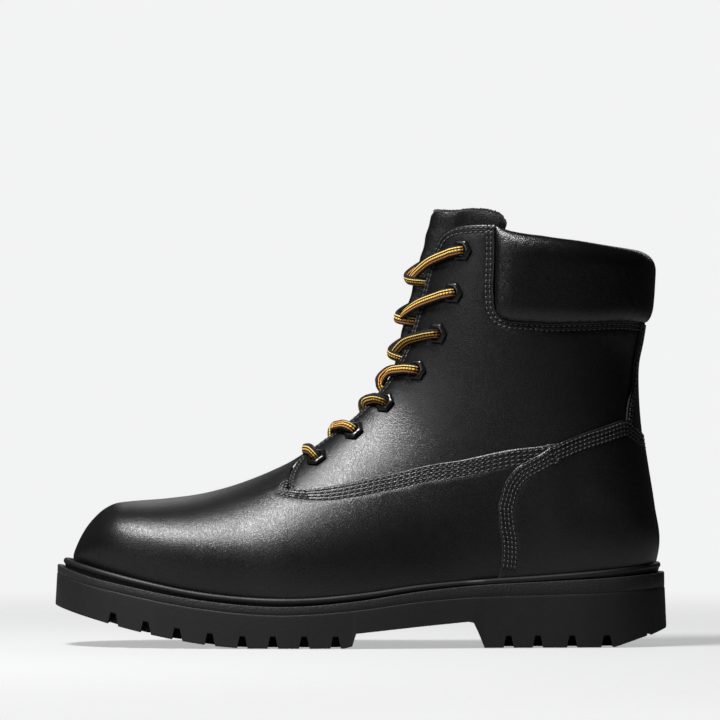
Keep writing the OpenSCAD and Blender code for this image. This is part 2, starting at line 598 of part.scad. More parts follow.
// The feather line from above, walked round the foot
outline_fans = [1.4, 2.2, 3.4, 5, 7, 9.5, 12.5, 16, 20, 24, 28, 32, 35.5, 38.5, 41, 43, 44.8,
    46.3, 47.5, 48.4, 49.1];
function feather_point(fan, side) = let (
    p = ring_point(ring(fan), side * min(feather_girth(fan, side), 179))) [p[0], p[1]];
function foot_line() = concat([ring_xy(0.8)],
    [for (f = outline_fans) feather_point(f, medial)], [ring_xy_back()],
    [for (f = reversed(outline_fans)) feather_point(f, lateral)]);
// The sole stands out further at the toe and the heel than at the sides
function foot_outline() = [for (p = foot_line()) [p[0] * 1.014, p[1]]];
function ring_xy(fan) = let (p = ring_point(ring(fan), 0)) [p[0] - 0.4, p[1]];
function ring_xy_back() = let (b = back_place(41), p = ring_point(ring(b[0]), 180)) [p[0], p[1]];
module foot(by) offset(r = by, $fn = 48) polygon(foot_outline());

stations = [for (i = [0:36]) -172 + i * 344 / 36];
// A slab between two heights that change along the boot
module slab(low, high, by) intersection() {
    translate([0, 0, -5]) linear_extrude(80) foot(by);
    rotate([90, 0, 0]) linear_extrude(160, center = true)
        polygon(concat([for (x = stations) [x, low(x)]],
            [for (x = reversed(stations)) [x, high(x)]]));
}
function top_z(x) = at(sole_top, min(max(x, -160), 160));
function under_line() = concat([for (x = [-170, -160, -152, -144, -138, -133, -126, -118, -111,
    -104, -97, -90, -83, -76, -69, -62, -58]) [x, at(forefoot_under, max(x, -160))]], waist_under);

midsole_margin = sole_margin - 0.3;
module midsole() color("#141414")
    slab(function (x) top_z(x) - midsole_h(x) + 0.05, function (x) top_z(x), midsole_margin);

groove_x = [-124.9, -108.3, -92.4, -75.8, -59.4, -44, -28.2, -12.3, 75.3, 90.1, 107.5, 123.6];
function under_z(x) = x > 60 ? 0 : x > -58 ? 0 : at(forefoot_under, x);
module groove(x) translate([x, 0, under_z(x)]) rotate([90, 0, 0])
    linear_extrude(160, center = true)
        polygon([[-groove_w / 2 - 0.3, -4], [-groove_w / 2, 0], [-groove_w / 4, groove_depth],
            [groove_w / 4, groove_depth], [groove_w / 2, 0], [groove_w / 2 + 0.3, -4]]);
// Slanted grooves between the lugs of the middle
module tread() for (x = concat([for (i = [0:6]) -122 + 17 * i], [82, 99, 116]))
    for (s = [-1, 1]) translate([x, 6, 0]) rotate(s * 28) translate([0, s * 2, 0])
        translate([-2, s > 0 ? 0 : -40, -5]) cube([4, 40, 5 + under_z(x) + 3.4]);
module outsole() color("#121212") difference() {
    intersection() {
        translate([0, 0, -5]) linear_extrude(80) foot(sole_margin);
        rotate([90, 0, 0]) linear_extrude(160, center = true)
            polygon(concat(under_line(), [[146, 4.6], [162, 9.5]],
                [for (x = reversed(stations)) [x, top_z(x) - midsole_h(x)]]));
    }
    intersection() {
        translate([0, 0, -5]) linear_extrude(60) difference() {
            foot(sole_margin + 3);
            foot(sole_margin - lug_depth);
        }
        for (x = groove_x) groove(x);
    }
    intersection() {
        translate([0, 0, -5]) linear_extrude(60) foot(sole_margin - lug_depth - 2.5);
        tread();
    }
    // A channel parts the middle from the lugs at the rim
    translate([0, 0, -5]) linear_extrude(8.2) difference() {
        foot(sole_margin - lug_depth);
        foot(sole_margin - lug_depth - 2.5);
    }
}

filler_in = -5.6;
shank_w = 18;
module shank_room(by) translate([-32 - by, -shank_w / 2 - by, 0])
    cube([102 + 2 * by, shank_w + 2 * by, 60]);
module bottom_filler() color("#8d7a5c") difference() {
    slab(function (x) top_z(x) + 0.05, function (x) top_z(x) + 1.9, filler_in);
    shank_room(0.15);
}
module shank() color("#8f9295") intersection() {
    slab(function (x) top_z(x) + 0.1, function (x) top_z(x) + 1.8, filler_in);
    shank_room(0);
}
board_in = -6.2;
module insole_board() color("#b79a6c")
    slab(function (x) top_z(x) + 2, function (x) top_z(x) + 4.2, board_in);
bed_in = -7.6;
bed_z = 5;
// Cut back at the toe, so that it can tip up inside the cap
module bed_trim() intersection() {
    children();
    translate([-131, -60, 0]) cube([270, 120, 90]);
}
module footbed_foam() color("#3f4247") bed_trim()
    slab(function (x) top_z(x) + bed_z, function (x) top_z(x) + bed_z + footbed_t - 1, bed_in);
module footbed_cover() color("#26282b") bed_trim()
    slab(function (x) top_z(x) + bed_z + footbed_t - 0.98,
        function (x) top_z(x) + bed_z + footbed_t, bed_in);

// The welt is a round bead that runs round the upper on top of the sole
module welt() {
    line = foot_line();
    n = len(line);
    function out(i) = let (d = line[(i + 1) % n] - line[(i + n - 1) % n]) [-d[1], d[0]] / norm(d);
    function section(i) = let (
        p = line[i], o = out(i),
        high = at(feather, min(max(p[0], -149), 151)) - 0.6,
        over_patch = smooth((p[0] - 52) / 12),
        near = mix(2.6, 5.25, over_patch), wide = mix(2.8, 1.35, over_patch))
        [for (q = [[0, 0], [0.55, 0], [0.88, 0.18], [1, 0.45], [0.92, 0.75], [0.65, 0.95],
            [0.35, 1], [0, 0.9]]) let (
            x = p[0] + o[0] * (near + wide * q[0]), low = top_z(x) + 0.25)
            [x, p[1] + o[1] * (near + wide * q[0]), mix(low, high, q[1])]];
    sections = [for (i = [0:n - 1]) section(i)];
    m = 8;
    color("#151515") polyhedron([for (s = sections) each s],
        [for (i = [0:n - 1]) for (k = [0:m - 1]) let (
            a = i * m + k, b = i * m + (k + 1) % m,
            c = ((i + 1) % n) * m + (k + 1) % m, d = ((i + 1) % n) * m + k)
            each [[a, c, b], [a, d, c]]]);
}

outsole();
midsole();
welt();
bottom_filler();
shank();
insole_board();
footbed_foam();
footbed_cover();
vamp();
vamp_lining();
toe_cap();
toe_cap_gasket();
quarter(lateral);  // quarter_lateral
quarter(medial);  // quarter_medial
eyestay(lateral);  // eyestay_lateral
eyestay(medial);  // eyestay_medial
shaft_lining();
heel_patch();
heel_stiffener();
backstay();
collar_cover();
collar_foam();
tongue_base();
tongue_leather();
tongue_foam();
tongue_lining();
eyelets(lateral);  // eyelets_lateral
eyelets(medial);  // eyelets_medial
eyelet_washers(lateral);  // eyelet_washers_lateral
eyelet_washers(medial);  // eyelet_washers_medial
lace();
lace_end(lateral);  // lace_end_lateral
lace_end(medial);  // lace_end_medial
aglet(lateral);  // aglet_lateral
aglet(medial);  // aglet_medial
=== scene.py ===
"""Visual model of a lace-up safety work boot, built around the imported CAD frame.

The toe points along -X, the lateral side is -Y, and the boot stands on Z = 0. Lengths in
the tables are millimetres. The upper is one lofted surface: a place on it is a fan angle,
which picks a ring, and a girth angle, which picks a point on the ring (0 on the ridge,
180 at the back, negative on the lateral side). Leather pieces are sheets cut out of it.
"""
import math

import bpy
import numpy as np
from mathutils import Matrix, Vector, geometry, kdtree


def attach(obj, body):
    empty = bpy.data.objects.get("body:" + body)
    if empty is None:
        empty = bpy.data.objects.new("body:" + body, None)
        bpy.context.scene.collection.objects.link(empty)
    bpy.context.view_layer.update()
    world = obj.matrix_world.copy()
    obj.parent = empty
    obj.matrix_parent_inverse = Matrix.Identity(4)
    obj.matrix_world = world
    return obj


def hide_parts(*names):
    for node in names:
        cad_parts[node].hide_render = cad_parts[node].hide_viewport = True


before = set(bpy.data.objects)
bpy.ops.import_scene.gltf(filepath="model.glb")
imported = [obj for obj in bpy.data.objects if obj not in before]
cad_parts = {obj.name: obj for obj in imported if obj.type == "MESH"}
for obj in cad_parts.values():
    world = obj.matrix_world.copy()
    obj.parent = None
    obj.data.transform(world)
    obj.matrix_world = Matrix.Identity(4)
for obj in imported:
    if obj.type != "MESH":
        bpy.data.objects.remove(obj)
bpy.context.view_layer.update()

MM = 0.001
LATERAL, MEDIAL = -1, 1
SIDES = (LATERAL, MEDIAL)
SIDE_NAME = {LATERAL: "lateral", MEDIAL: "medial"}


# ---- Smooth curves ---------------------------------------------------------------------

def curve(xs, ys):
    """A smooth function through points, one row of ys per x."""
    xs, ys = np.asarray(xs, float), np.asarray(ys, float)
    h = np.diff(xs)
    hh = h.reshape((-1,) + (1,) * (ys.ndim - 1))
    d = np.diff(ys, axis=0) / hh
    m = np.empty_like(ys)
    if len(xs) == 2:
        m[:] = d[0]
    else:
        m[1:-1] = (d[:-1] * hh[1:] + d[1:] * hh[:-1]) / (hh[:-1] + hh[1:])
        m[0] = 1.5 * d[0] - 0.5 * m[1]
        m[-1] = 1.5 * d[-1] - 0.5 * m[-2]

    def f(x):
        x = np.asarray(x, float)
        i = np.clip(np.searchsorted(xs, x, "right") - 1, 0, len(xs) - 2)
        u = (x - xs[i]) / h[i]
        shape = x.shape + (1,) * (ys.ndim - 1)
        u, k = u.reshape(shape), h[i].reshape(shape)
        w = 1 - u
        return (w * w * (1 + 2 * u) * ys[i] + u * w * w * k * m[i]
                + u * u * (3 - 2 * u) * ys[i + 1] - u * u * w * k * m[i + 1])
    return f


def path(points):
    return curve(np.linspace(0, 1, len(points)), points)


def smooth(u):
    v = np.clip(u, 0, 1)
    return v * v * (3 - 2 * v)


def mix(a, b, u):
    return a + (b - a) * u


def unit(v):
    return v / np.maximum(np.linalg.norm(v, axis=-1, keepdims=True), 1e-9)


def run_along(points):
    """The distance run at each point of a line, from 0 at its first."""
    return np.concatenate([[0], np.cumsum(np.linalg.norm(np.diff(points, axis=0), axis=1))])


def spread(where, run, values):
    """Rows of values, known at distances run, at other distances."""
    return np.stack([np.interp(where, run, column) for column in values.T], -1)


def circle(n):
    """n angles round a full turn."""
    return np.linspace(0, 2 * math.pi, n, endpoint=False)


# ---- The lofted surface of the upper ---------------------------------------------------

FAN = (-150.0, 300.0)
TOE = (-146.6, 44.5)
FRONT = [TOE, (-145, 50), (-142.5, 55.3), (-139.6, 60), (-135.6, 64.8), (-130.8, 69),
         (-125, 71.8), (-118, 72.8), (-98, 74.5), (-78, 77.5), (-58, 83.4), (-37, 92.8),
         (-16.4, 107), (0, 120.5), (11, 134.5), (17, 148), (22, 165), (29, 192), (35, 216),
         (41, 240), (50, 280)]
BACK = [TOE, (-145, 37), (-140, 28), (-130, 18), (-115, 10), (-90, 3), (-60, -2), (-30, -4),
        (0, -3), (40, 2), (80, 7), (110, 12), (130, 18), (142, 29), (147.5, 43), (149.5, 56),
        (148.3, 70), (145.2, 90), (142.5, 108), (140.9, 128), (141, 143), (143.5, 156),
        (145.5, 170), (147, 190), (148.5, 215), (150, 250), (151, 282)]
# Fan angle, half widths (lateral, medial), share of the widest point, roundness in front of
# it and behind it, offset of the centre line
GIRTHS = np.array([
    (0.762, 0, 0, 0.42, 2, 2.2, 8), (0.9, 9, 9, 0.39, 2, 2.2, 8),
    (1.5, 17.5, 17.5, 0.37, 2, 2.2, 7.8), (2.5, 26, 25.5, 0.36, 2.05, 2.3, 7.5),
    (4, 33.5, 32.5, 0.36, 2.1, 2.3, 7), (6, 40, 38, 0.37, 2.15, 2.3, 6.3),
    (9, 45.5, 43, 0.4, 2.2, 2.4, 5.3), (13, 49, 46.5, 0.44, 2.15, 2.4, 4),
    (18, 51, 49, 0.48, 2.05, 2.4, 2), (23, 51.5, 48.5, 0.51, 1.95, 2.4, 0.5),
    (28, 49.5, 44.5, 0.54, 1.9, 2.4, -0.5), (33, 45, 39.5, 0.56, 1.85, 2.4, -1),
    (38, 40, 36.5, 0.58, 1.85, 2.4, -1), (43, 37.5, 36, 0.6, 1.85, 2.4, -1),
    (49, 37.5, 37, 0.6, 1.85, 2.4, -1), (55, 38, 37.5, 0.56, 1.9, 2.4, -1),
    (61, 38.5, 38.5, 0.52, 1.95, 2.3, -1), (67, 40, 40, 0.5, 2, 2.2, -1),
    (73, 41.5, 41.5, 0.5, 2.05, 2.2, -1), (84, 43, 43, 0.5, 2.1, 2.2, -1)])
FAN_LOW = math.degrees(math.atan2(TOE[0] - FAN[0], FAN[1] - TOE[1]))
FAN_HIGH = 84.0


def ease(fan):
    return np.sqrt(np.maximum(fan - FAN_LOW, 0) / (FAN_HIGH - FAN_LOW))


def polar(x, z):
    return np.degrees(np.arctan2(x - FAN[0], FAN[1] - z)), np.hypot(x - FAN[0], FAN[1] - z)


def side_outline(points):
    fan, reach = polar(*np.array(points, float).T)
    return curve(ease(fan), reach)


front_reach, back_reach = side_outline(FRONT), side_outline(BACK)
girth_of = curve(ease(GIRTHS[:, 0]), GIRTHS[:, 1:])


def base(fan, girth):
    fan, girth = np.broadcast_arrays(np.asarray(fan, float), np.asarray(girth, float))
    g = (girth + 180) % 360 - 180
    g = np.where(girth == 180, 180, g)
    t = ease(fan)
    ra, rb, k = front_reach(t), back_reach(t), girth_of(t)
    a = np.radians(np.abs(g))
    ca, sa = np.abs(np.cos(a)), np.abs(np.sin(a))
    p, q, share = k[..., 3], k[..., 4], k[..., 2]
    ahead = np.abs(g) <= 90
    s = np.where(ahead, share * (1 - ca ** (2 / p)), share + (1 - share) * ca ** (2 / q))
    half = np.where(g < 0, -k[..., 0], k[..., 1])
    y = half * np.where(ahead, sa ** (2 / p), sa ** (2 / q))
    reach = mix(ra, rb, s)
    th = np.radians(fan)
    return np.stack([FAN[0] + reach * np.sin(th), k[..., 5] + y, FAN[1] - reach * np.cos(th)], -1)


def slopes(fan, girth):
    """How a place moves with its fan angle and with its girth angle, in mm per degree."""
    f = np.maximum(fan, FAN_LOW + 0.03)
    low = np.maximum(f - 0.1, FAN_LOW + 0.001)
    df = (base(f + 0.1, girth) - base(low, girth)) / (f + 0.1 - low)[..., None]
    dg = (base(f, girth + 0.4) - base(f, girth - 0.4)) / 0.8
    return df, dg


def normal(fan, girth):
    df, dg = slopes(np.asarray(fan, float), np.asarray(girth, float))
    return unit(np.cross(df, dg))


def point(fan, girth, depth=0.0):
    fan, girth = np.broadcast_arrays(np.asarray(fan, float), np.asarray(girth, float))
    return base(fan, girth) + normal(fan, girth) * np.asarray(depth, float)[..., None]


def locate(xz, side):
    """The places [fan, girth] that show at points of the side view."""
    xz = np.atleast_2d(np.asarray(xz, float))
    fan, reach = polar(xz[:, 0], xz[:, 1])
    t = ease(fan)
    ra, rb, k = front_reach(t), back_reach(t), girth_of(t)
    s = np.clip((reach - ra) / (rb - ra), 0, 1)
    m, p, q = k[:, 2], k[:, 3], k[:, 4]
    g = np.where(s < m, np.degrees(np.arccos(np.clip(1 - s / m, 0, 1) ** (p / 2))),
                 90 + np.degrees(np.arcsin(np.clip((s - m) / (1 - m), 0, 1) ** (q / 2))))
    return np.stack([fan, side * g], -1)


# ---- Lines of the boot in side view ------------------------------------------------------

def line(points):
    p = np.array(points, float)
    return curve(p[:, 0], p[:, 1])


feather = line([(-149, 45.3), (-128.4, 39.6), (-108, 34.5), (-88, 30), (-68, 27), (-47, 25.5),
                (-27, 25.6), (0, 28), (31, 32.3), (63, 35), (94, 37), (125, 39.6), (151, 43)])
sole_top_line = line([(-160, 42.6), (-138.5, 35.6), (-118, 31), (-98, 26.9), (-78, 23.8),
                      (-57, 21.6), (-42, 20.9), (-27, 21.3), (0, 23.9), (31, 28.6),
                      (63, 31.8), (94, 33.4), (125, 35), (160, 37.8)])
forefoot_under = line([(-160, 22), (-144, 16.8), (-133, 13.6), (-118, 9.6), (-104, 6.3),
                       (-90, 3.6), (-76, 1.5), (-62, 0.2), (-58, 0)])
facing_edge = line([(27, 34), (27.7, 29), (29, 15), (31, 9), (35, 8), (40, 8.5), (43, 10),
                    (45.4, 12.5), (47.6, 15.5), (50, 18), (52.6, 20), (55.1, 21.5),
                    (57.8, 23), (60.2, 24), (63.2, 26.6), (67, 29)])
VAMP_SEAM = [(-38, 79.5), (-28, 78.8), (-5.6, 82.4), (12.8, 86.5), (40, 92.9), (72, 99.3),
             (100, 103.3)]
PATCH_EDGE = [(70.3, 64), (71.4, 76), (75.5, 86), (83.8, 93.7), (100, 102.9), (113, 108.4),
              (126, 112.7), (134, 114.8), (139, 110.5)]
PATCH_BACK_Z = 107.5
EYESTAY_BACK = [(-24, 84), (-2, 96), (20, 110), (38, 130), (51, 155), (58, 180), (61, 206)]
QUARTER_TOP = [(38.6, 203.5), (41, 208.5), (46, 212.3), (54, 213.9), (68, 214.2)]
COLLAR_SEAM = [(68, 214.2), (68, 197), (67.6, 178.7), (68.6, 170.8), (73, 166.6), (84, 165.2),
               (112, 164.9), (134, 165.6)]
COLLAR_SEAM_BACK = 165
COLLAR_TOP = [(68.6, 213.8), (75, 211.4), (84.5, 209.6), (98, 207.8), (112, 206), (126, 203.8),
              (137, 202.2), (144, 200.9)]
COLLAR_TOP_BACK = 198.6
EYELETS = [(-22, 95.6), (-3.2, 109.3), (12.8, 123.9), (28.8, 140.3), (39.3, 158.9),
           (47.1, 179.7), (51.7, 201.2)]
HEEL_FAN = 48.75
THROAT_FAN = 27.2
FACING_FANS = (27, 67)
HEM_DROP = 2.1


def sole_top(x):
    return sole_top_line(np.clip(x, -160, 160))


def bisect(test, low, high, n=30):
    """Where test turns true, for arrays of low and high ends."""
    low, high = np.array(low, float), np.array(high, float)
    for _ in range(n):
        mid = (low + high) / 2
        t = test(mid)
        high, low = np.where(t, mid, high), np.where(t, low, mid)
    return (low + high) / 2


def feather_girth(fan, side, drop=0.0):
    fan = np.atleast_1d(np.asarray(fan, float))

    def test(g):
        p = base(fan, side * g)
        return p[:, 2] < feather(p[:, 0]) - drop
    return bisect(test, np.full(len(fan), 20.0), np.full(len(fan), 180.0))


def back_fan(z):
    return float(bisect(lambda f: base(f, 180.0)[..., 2] > z, 40.0, FAN_HIGH))


def hem(fan, side):
    """Places just under the welt, where the leather is tucked in."""
    fan = np.atleast_1d(np.asarray(fan, float))
    g = np.where(fan > HEEL_FAN, 180, np.minimum(177, feather_girth(fan, side, HEM_DROP)))
    return np.stack([fan, side * g], -1)


def hem_to_back(fans, side):
    return np.concatenate([hem(fans, side), [[HEEL_FAN, side * 180]]])


def located(points, side):
    return locate(np.array(points, float), side)


def line_to_back(points, z, side):
    """A line seen in side view, carried on to the back at a height."""
    return np.concatenate([located(points, side), [[back_fan(z), side * 180]]])


def coons(low, high, near, far, n, m):
    """Places inside four edges; low and high run together, and so do near and far."""
    low, high, near, far = (np.asarray(e, float) for e in (low, high, near, far))
    u, v = np.linspace(0, 1, n + 1), np.linspace(0, 1, m + 1)
    a, b, c, d = path(low)(u), path(high)(u), path(near)(v), path(far)(v)
    U, V = u[:, None, None], v[None, :, None]
    corners = mix(mix(low[0], low[-1], U), mix(high[0], high[-1], U), V)
    return mix(a[:, None], b[:, None], V) + mix(c[None], d[None], U) - corners


def both(places_of):
    """One sheet of places from its two sides, which meet at the back."""
    return np.concatenate([places_of(LATERAL), places_of(MEDIAL)[::-1][1:]])


# ---- Materials ---------------------------------------------------------------------------

class Mat:
    """A node material built in a few lines."""

    def __init__(self, name):
        self.mat = bpy.data.materials.new(name)
        self.mat.use_nodes = True
        self.nodes, self.links = self.mat.node_tree.nodes, self.mat.node_tree.links
        self.shader = self.nodes["Principled BSDF"]

    def node(self, kind, inputs=None, **props):
        n = self.nodes.new(kind)
        for k, v in props.items():
            setattr(n, k, v)
        for k, v in (inputs or {}).items():
            self.put(n.inputs[k], v)
        return n

    def put(self, socket, value):
        if isinstance(value, bpy.types.NodeSocket):
            self.links.new(value, socket)
        else:
            socket.default_value = value

    def set(self, **values):
        for k, v in values.items():
            self.put(self.shader.inputs[k.replace("_", " ")], v)

    def coords(self, kind="Object"):
        return self.node("ShaderNodeTexCoord").outputs[kind]

    def noise(self, vector, scale, detail=3.0, rough=0.5):
        return self.node("ShaderNodeTexNoise", {"Vector": vector, "Scale": scale,
                         "Detail": detail, "Roughness": rough}).outputs["Fac"]

    def cells(self, vector, scale, feature):
        n = self.node("ShaderNodeTexVoronoi", {"Vector": vector, "Scale": scale}, feature=feature)
        return n.outputs["Distance"]

    def math(self, op, a, b=0.0):
        return self.node("ShaderNodeMath", {0: a, 1: b}, operation=op).outputs[0]

    def plus(self, a, b):
        return self.math("ADD", a, b)

    def times(self, a, b):
        return self.math("MULTIPLY", a, b)

    def span(self, value, low, high, a=0.0, b=1.0):
        n = self.node("ShaderNodeMapRange", {"Value": value, "From Min": low, "From Max": high,
                      "To Min": a, "To Max": b})
        return n.outputs["Result"]

    def blend(self, fac, a, b):
        n = self.node("ShaderNodeMix", data_type="RGBA")
        for name, value in (("Factor", fac), ("A", a), ("B", b)):
            self.put(n.inputs[name], value)
        return n.outputs["Result"]

    def bump(self, height, distance, strength=1.0, under=None):
        n = self.node("ShaderNodeBump", {"Height": height, "Distance": distance,
                      "Strength": strength})
        if under is not None:
            self.put(n.inputs["Normal"], under)
        return n.outputs["Normal"]


def rgb(r, g=None, b=None):
    return (r, r if g is None else g, r if b is None else b, 1.0)


def leather(name, tone, rough, grain, seed=0.0):
    """Smooth full-grain leather: fine pebbles, faint creases and uneven gloss."""
    m = Mat(name)
    at = m.node("ShaderNodeMapping", {"Vector": m.coords(), "Location": (seed, seed, 0)})
    at = at.outputs["Vector"]
    pebble = m.cells(at, 1150.0, "DISTANCE_TO_EDGE")
    fine = m.noise(at, 2600.0, 2.0)
    broad = m.noise(at, 34.0, 4.0, 0.6)
    patch = m.noise(at, 120.0, 3.0)
    height = m.plus(m.times(m.span(pebble, 0.0, 0.28), 0.5), m.times(fine, 0.55))
    gloss = m.plus(m.times(patch, 0.25), m.times(fine, 0.75))
    first = m.bump(broad, 0.0006, 0.35)
    second = m.bump(patch, 0.00008, 0.35, first)
    m.set(Base_Color=m.blend(broad, rgb(tone * 0.8), rgb(tone * 1.35, tone * 1.35, tone * 1.45)),
          Roughness=m.span(gloss, 0.3, 0.7, rough - 0.05, rough + 0.06),
          Normal=m.bump(height, 0.00011 * grain, 0.75, second), Specular_IOR_Level=0.55)
    return m.mat


def rubber(name, tone, rough, grain_scale, grain_depth):
    m = Mat(name)
    at = m.coords()
    grain = m.noise(at, grain_scale, 3.0)
    broad = m.noise(at, 60.0, 3.0)
    m.set(Base_Color=m.blend(broad, rgb(tone * 0.8), rgb(tone * 1.3)),
          Roughness=m.span(grain, 0.3, 0.7, rough - 0.07, rough + 0.07),
          Normal=m.bump(grain, grain_depth, 0.8), Specular_IOR_Level=0.4)
    return m.mat


def cloth(name, colour, scale=900.0, depth=0.00025, rough=0.85, sheen=0.3):
    """Lining, thread, foam or board: crossed ribs with fibres over them."""
    m = Mat(name)
    at = m.coords()
    waves = []
    for direction in ("X", "Y", "Z"):
        waves.append(m.node("ShaderNodeTexWave", {"Vector": at, "Scale": scale / 6.3,
                     "Distortion": 1.5, "Detail": 1.0}, bands_direction=direction).outputs["Fac"])
    weave = m.times(m.plus(m.plus(waves[0], waves[1]), waves[2]), 0.33)
    fuzz = m.noise(at, 3200.0, 2.0)
    tone = m.plus(m.times(weave, 0.6), m.times(fuzz, 0.4))
    dark = tuple(c * 0.55 for c in colour)
    m.set(Base_Color=m.blend(tone, rgb(*dark), rgb(*colour)), Roughness=rough,
          Normal=m.bump(tone, depth, 0.8), Sheen_Weight=sheen, Sheen_Roughness=0.5)
    return m.mat


def metal(name, tone, metallic, rough, coat=0.0):
    m = Mat(name)
    scratch = m.noise(m.node("ShaderNodeMapping", {"Vector": m.coords(),
                      "Scale": (1, 1, 6)}).outputs["Vector"], 900.0, 3.0)
    m.set(Base_Color=m.blend(scratch, rgb(tone * 0.9), rgb(tone * 1.15)), Metallic=metallic,
          Roughness=m.span(scratch, 0.3, 0.7, rough - 0.03, rough + 0.06),
          Normal=m.bump(scratch, 0.00002, 0.3), Coat_Weight=coat, Coat_Roughness=0.08)
    return m.mat


def lace_material():
    """Black braid with bright stripes; U runs round the lace and V along it, in mm."""
    m = Mat("lace_braid")
    uv = m.node("ShaderNodeSeparateXYZ", {"Vector": m.coords("UV")})
    u, v = uv.outputs["X"], uv.outputs["Y"]
    off = m.math("SUBTRACT", m.math("FRACT", m.times(u, 2.0)), 0.5)
    lean = m.times(m.math("PINGPONG", m.times(u, 12.0), 0.5), 0.7)

    def wave(phase):
        return m.math("ABSOLUTE", m.math("SINE", phase))

    def stripe(middle, outside, full):
        return m.span(m.math("ABSOLUTE", m.plus(off, middle)), outside, full)

    bead = wave(m.times(m.plus(m.times(v, 0.72), lean), math.pi))
    ribs = wave(m.times(u, math.pi * 14))
    fibre = m.noise(m.coords(), 2500.0, 2.0)
    side_shade = m.span(bead, 0.1, 0.5, 0.4, 1.0)
    colour = m.blend(fibre, rgb(0.003), rgb(0.01))
    for fac, shade, tint in (
            (stripe(0.18, 0.045, 0.03), side_shade, (1.0, 0.66, 0.18)),
            # The orange-red stripe: the lace's own stripe, made redder as painted shade of its
            # lower edge
            (stripe(-0.18, 0.045, 0.03), side_shade, (0.95, 0.32, 0.05)),
            (stripe(0.0, 0.052, 0.036), m.span(bead, 0.12, 0.7), (1.0, 0.62, 0.1))):
        colour = m.blend(m.times(fac, shade), colour, rgb(*tint))
    braid = m.plus(m.times(bead, ribs), m.times(fibre, 0.25))
    m.set(Base_Color=colour, Roughness=m.span(fibre, 0.3, 0.7, 0.55, 0.75),
          Normal=m.bump(braid, 0.00035, 0.9), Sheen_Weight=0.04, Specular_IOR_Level=0.25)
    return m.mat


LEATHER = leather("full_grain_black", 0.004, 0.325, 1.1)
LEATHER_SOFT = leather("collar_leather", 0.0028, 0.27, 1.2, 0.31)
# Cut edges: the leather's raw edge tone, lightened further as painted highlight
LEATHER_CUT_LIT = leather("cut_edge_painted_highlight", 0.02, 0.5, 0.8, 0.11)
TONGUE_LEATHER = leather("tongue_leather", 0.005, 0.28, 1.6, 0.17)
# The bar tacks' black thread made light grey: painted highlight on its shiny loops
TACK_THREAD_LIT = cloth("tack_thread_painted_highlight", (0.16, 0.16, 0.165), 2600.0, 0.00006, 0.3, 0.1)
THREAD = cloth("bonded_thread", (0.045, 0.045, 0.047), 2600.0, 0.00006, 0.36, 0.1)
# Near-black matte discs at the stitch ends: painted shade of the needle holes
HOLE_SHADE = rubber("painted_hole_shade", 0.001, 0.9, 900.0, 0.00002)
SOLE = rubber("sole_rubber", 0.0075, 0.6, 1500.0, 0.00012)
SOLE_BAND = rubber("band_rubber", 0.0125, 0.55, 900.0, 0.0004)
WELT = rubber("welt_rubber", 0.009, 0.5, 1800.0, 0.00008)
LINING = cloth("lining_knit", (0.03, 0.03, 0.032))
RAW_EDGE = cloth("raw_edge", (0.006, 0.006, 0.0065), 900.0, 0.0004, 0.95, 0.1)
FOOTBED = cloth("footbed_cloth", (0.05, 0.052, 0.056), 600.0, 0.0003, 0.9, 0.4)
FOAM = cloth("open_foam", (0.6, 0.55, 0.38), 2000.0, 0.0003, 0.95, 0.0)
BOARD = cloth("fibre_board", (0.36, 0.28, 0.18), 1600.0, 0.0002, 0.9, 0.0)
STEEL = metal("toe_cap_steel", 0.5, 1.0, 0.35)
BLACK_METAL = metal("black_nickel", 0.007, 0.25, 0.24, 0.1)
AGLET = metal("aglet_film", 0.012, 0.0, 0.25, 0.4)
LACE = lace_material()


# ---- Meshes --------------------------------------------------------------------------------

def link(name, data):
    obj = bpy.data.objects.new(name, data)
    bpy.context.scene.collection.objects.link(obj)
    return obj


def add(name, verts, faces, material, body="boot", slot="black_leather", replaces=(),
        flat_angle=40, uv=None, second=None, second_faces=None):
    """A piece from vertices in mm, riding on its body."""
    mesh = bpy.data.meshes.new(name)
    mesh.from_pydata((np.asarray(verts, float) * MM).tolist(), [],
                     [list(map(int, f)) for f in faces])
    mesh.update()
    obj = link(name, mesh)
    mesh.materials.append(material)
    if second is not None:
        mesh.materials.append(second)
        index = np.zeros(len(mesh.polygons), np.int32)
        index[np.asarray(second_faces, int)] = 1
        mesh.polygons.foreach_set("material_index", index)
    mesh.shade_smooth()
    if flat_angle:
        mesh.set_sharp_from_angle(angle=math.radians(flat_angle))
    if uv is not None:
        layer = mesh.uv_layers.new(name="UVMap")
        layer.data.foreach_set("uv", np.asarray(uv, np.float32).ravel())
    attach(obj, body)
    if replaces:
        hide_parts(*replaces)
    return obj


def grid_faces(n, m, closed=False):
    """Quads of an n by m grid of points; closed joins the last column to the first."""
    i, j = np.meshgrid(np.arange(n - 1), np.arange(m if closed else m - 1), indexing="ij")
    k = (j + 1) % m
    return np.stack([i * m + j, (i + 1) * m + j, (i + 1) * m + k, i * m + k], -1).reshape(-1, 4)


def ring_faces(n, m):
    """Quads of a grid that is closed both ways."""
    j = np.arange(m)
    k, last = (j + 1) % m, (n - 1) * m
    return np.concatenate([grid_faces(n, m, True), np.stack([last + j, j, k, last + k], -1)])


def end_caps(n, m):
    """The first and the last of n rings of m points, as faces."""
    return [list(range(m)), list(range(n * m - 1, (n - 1) * m - 1, -1))]


def faces_in(a, b, c, out):
    """Whether a face with these corners looks away from a direction."""
    return np.dot(np.cross(b - a, c - a), out) < 0


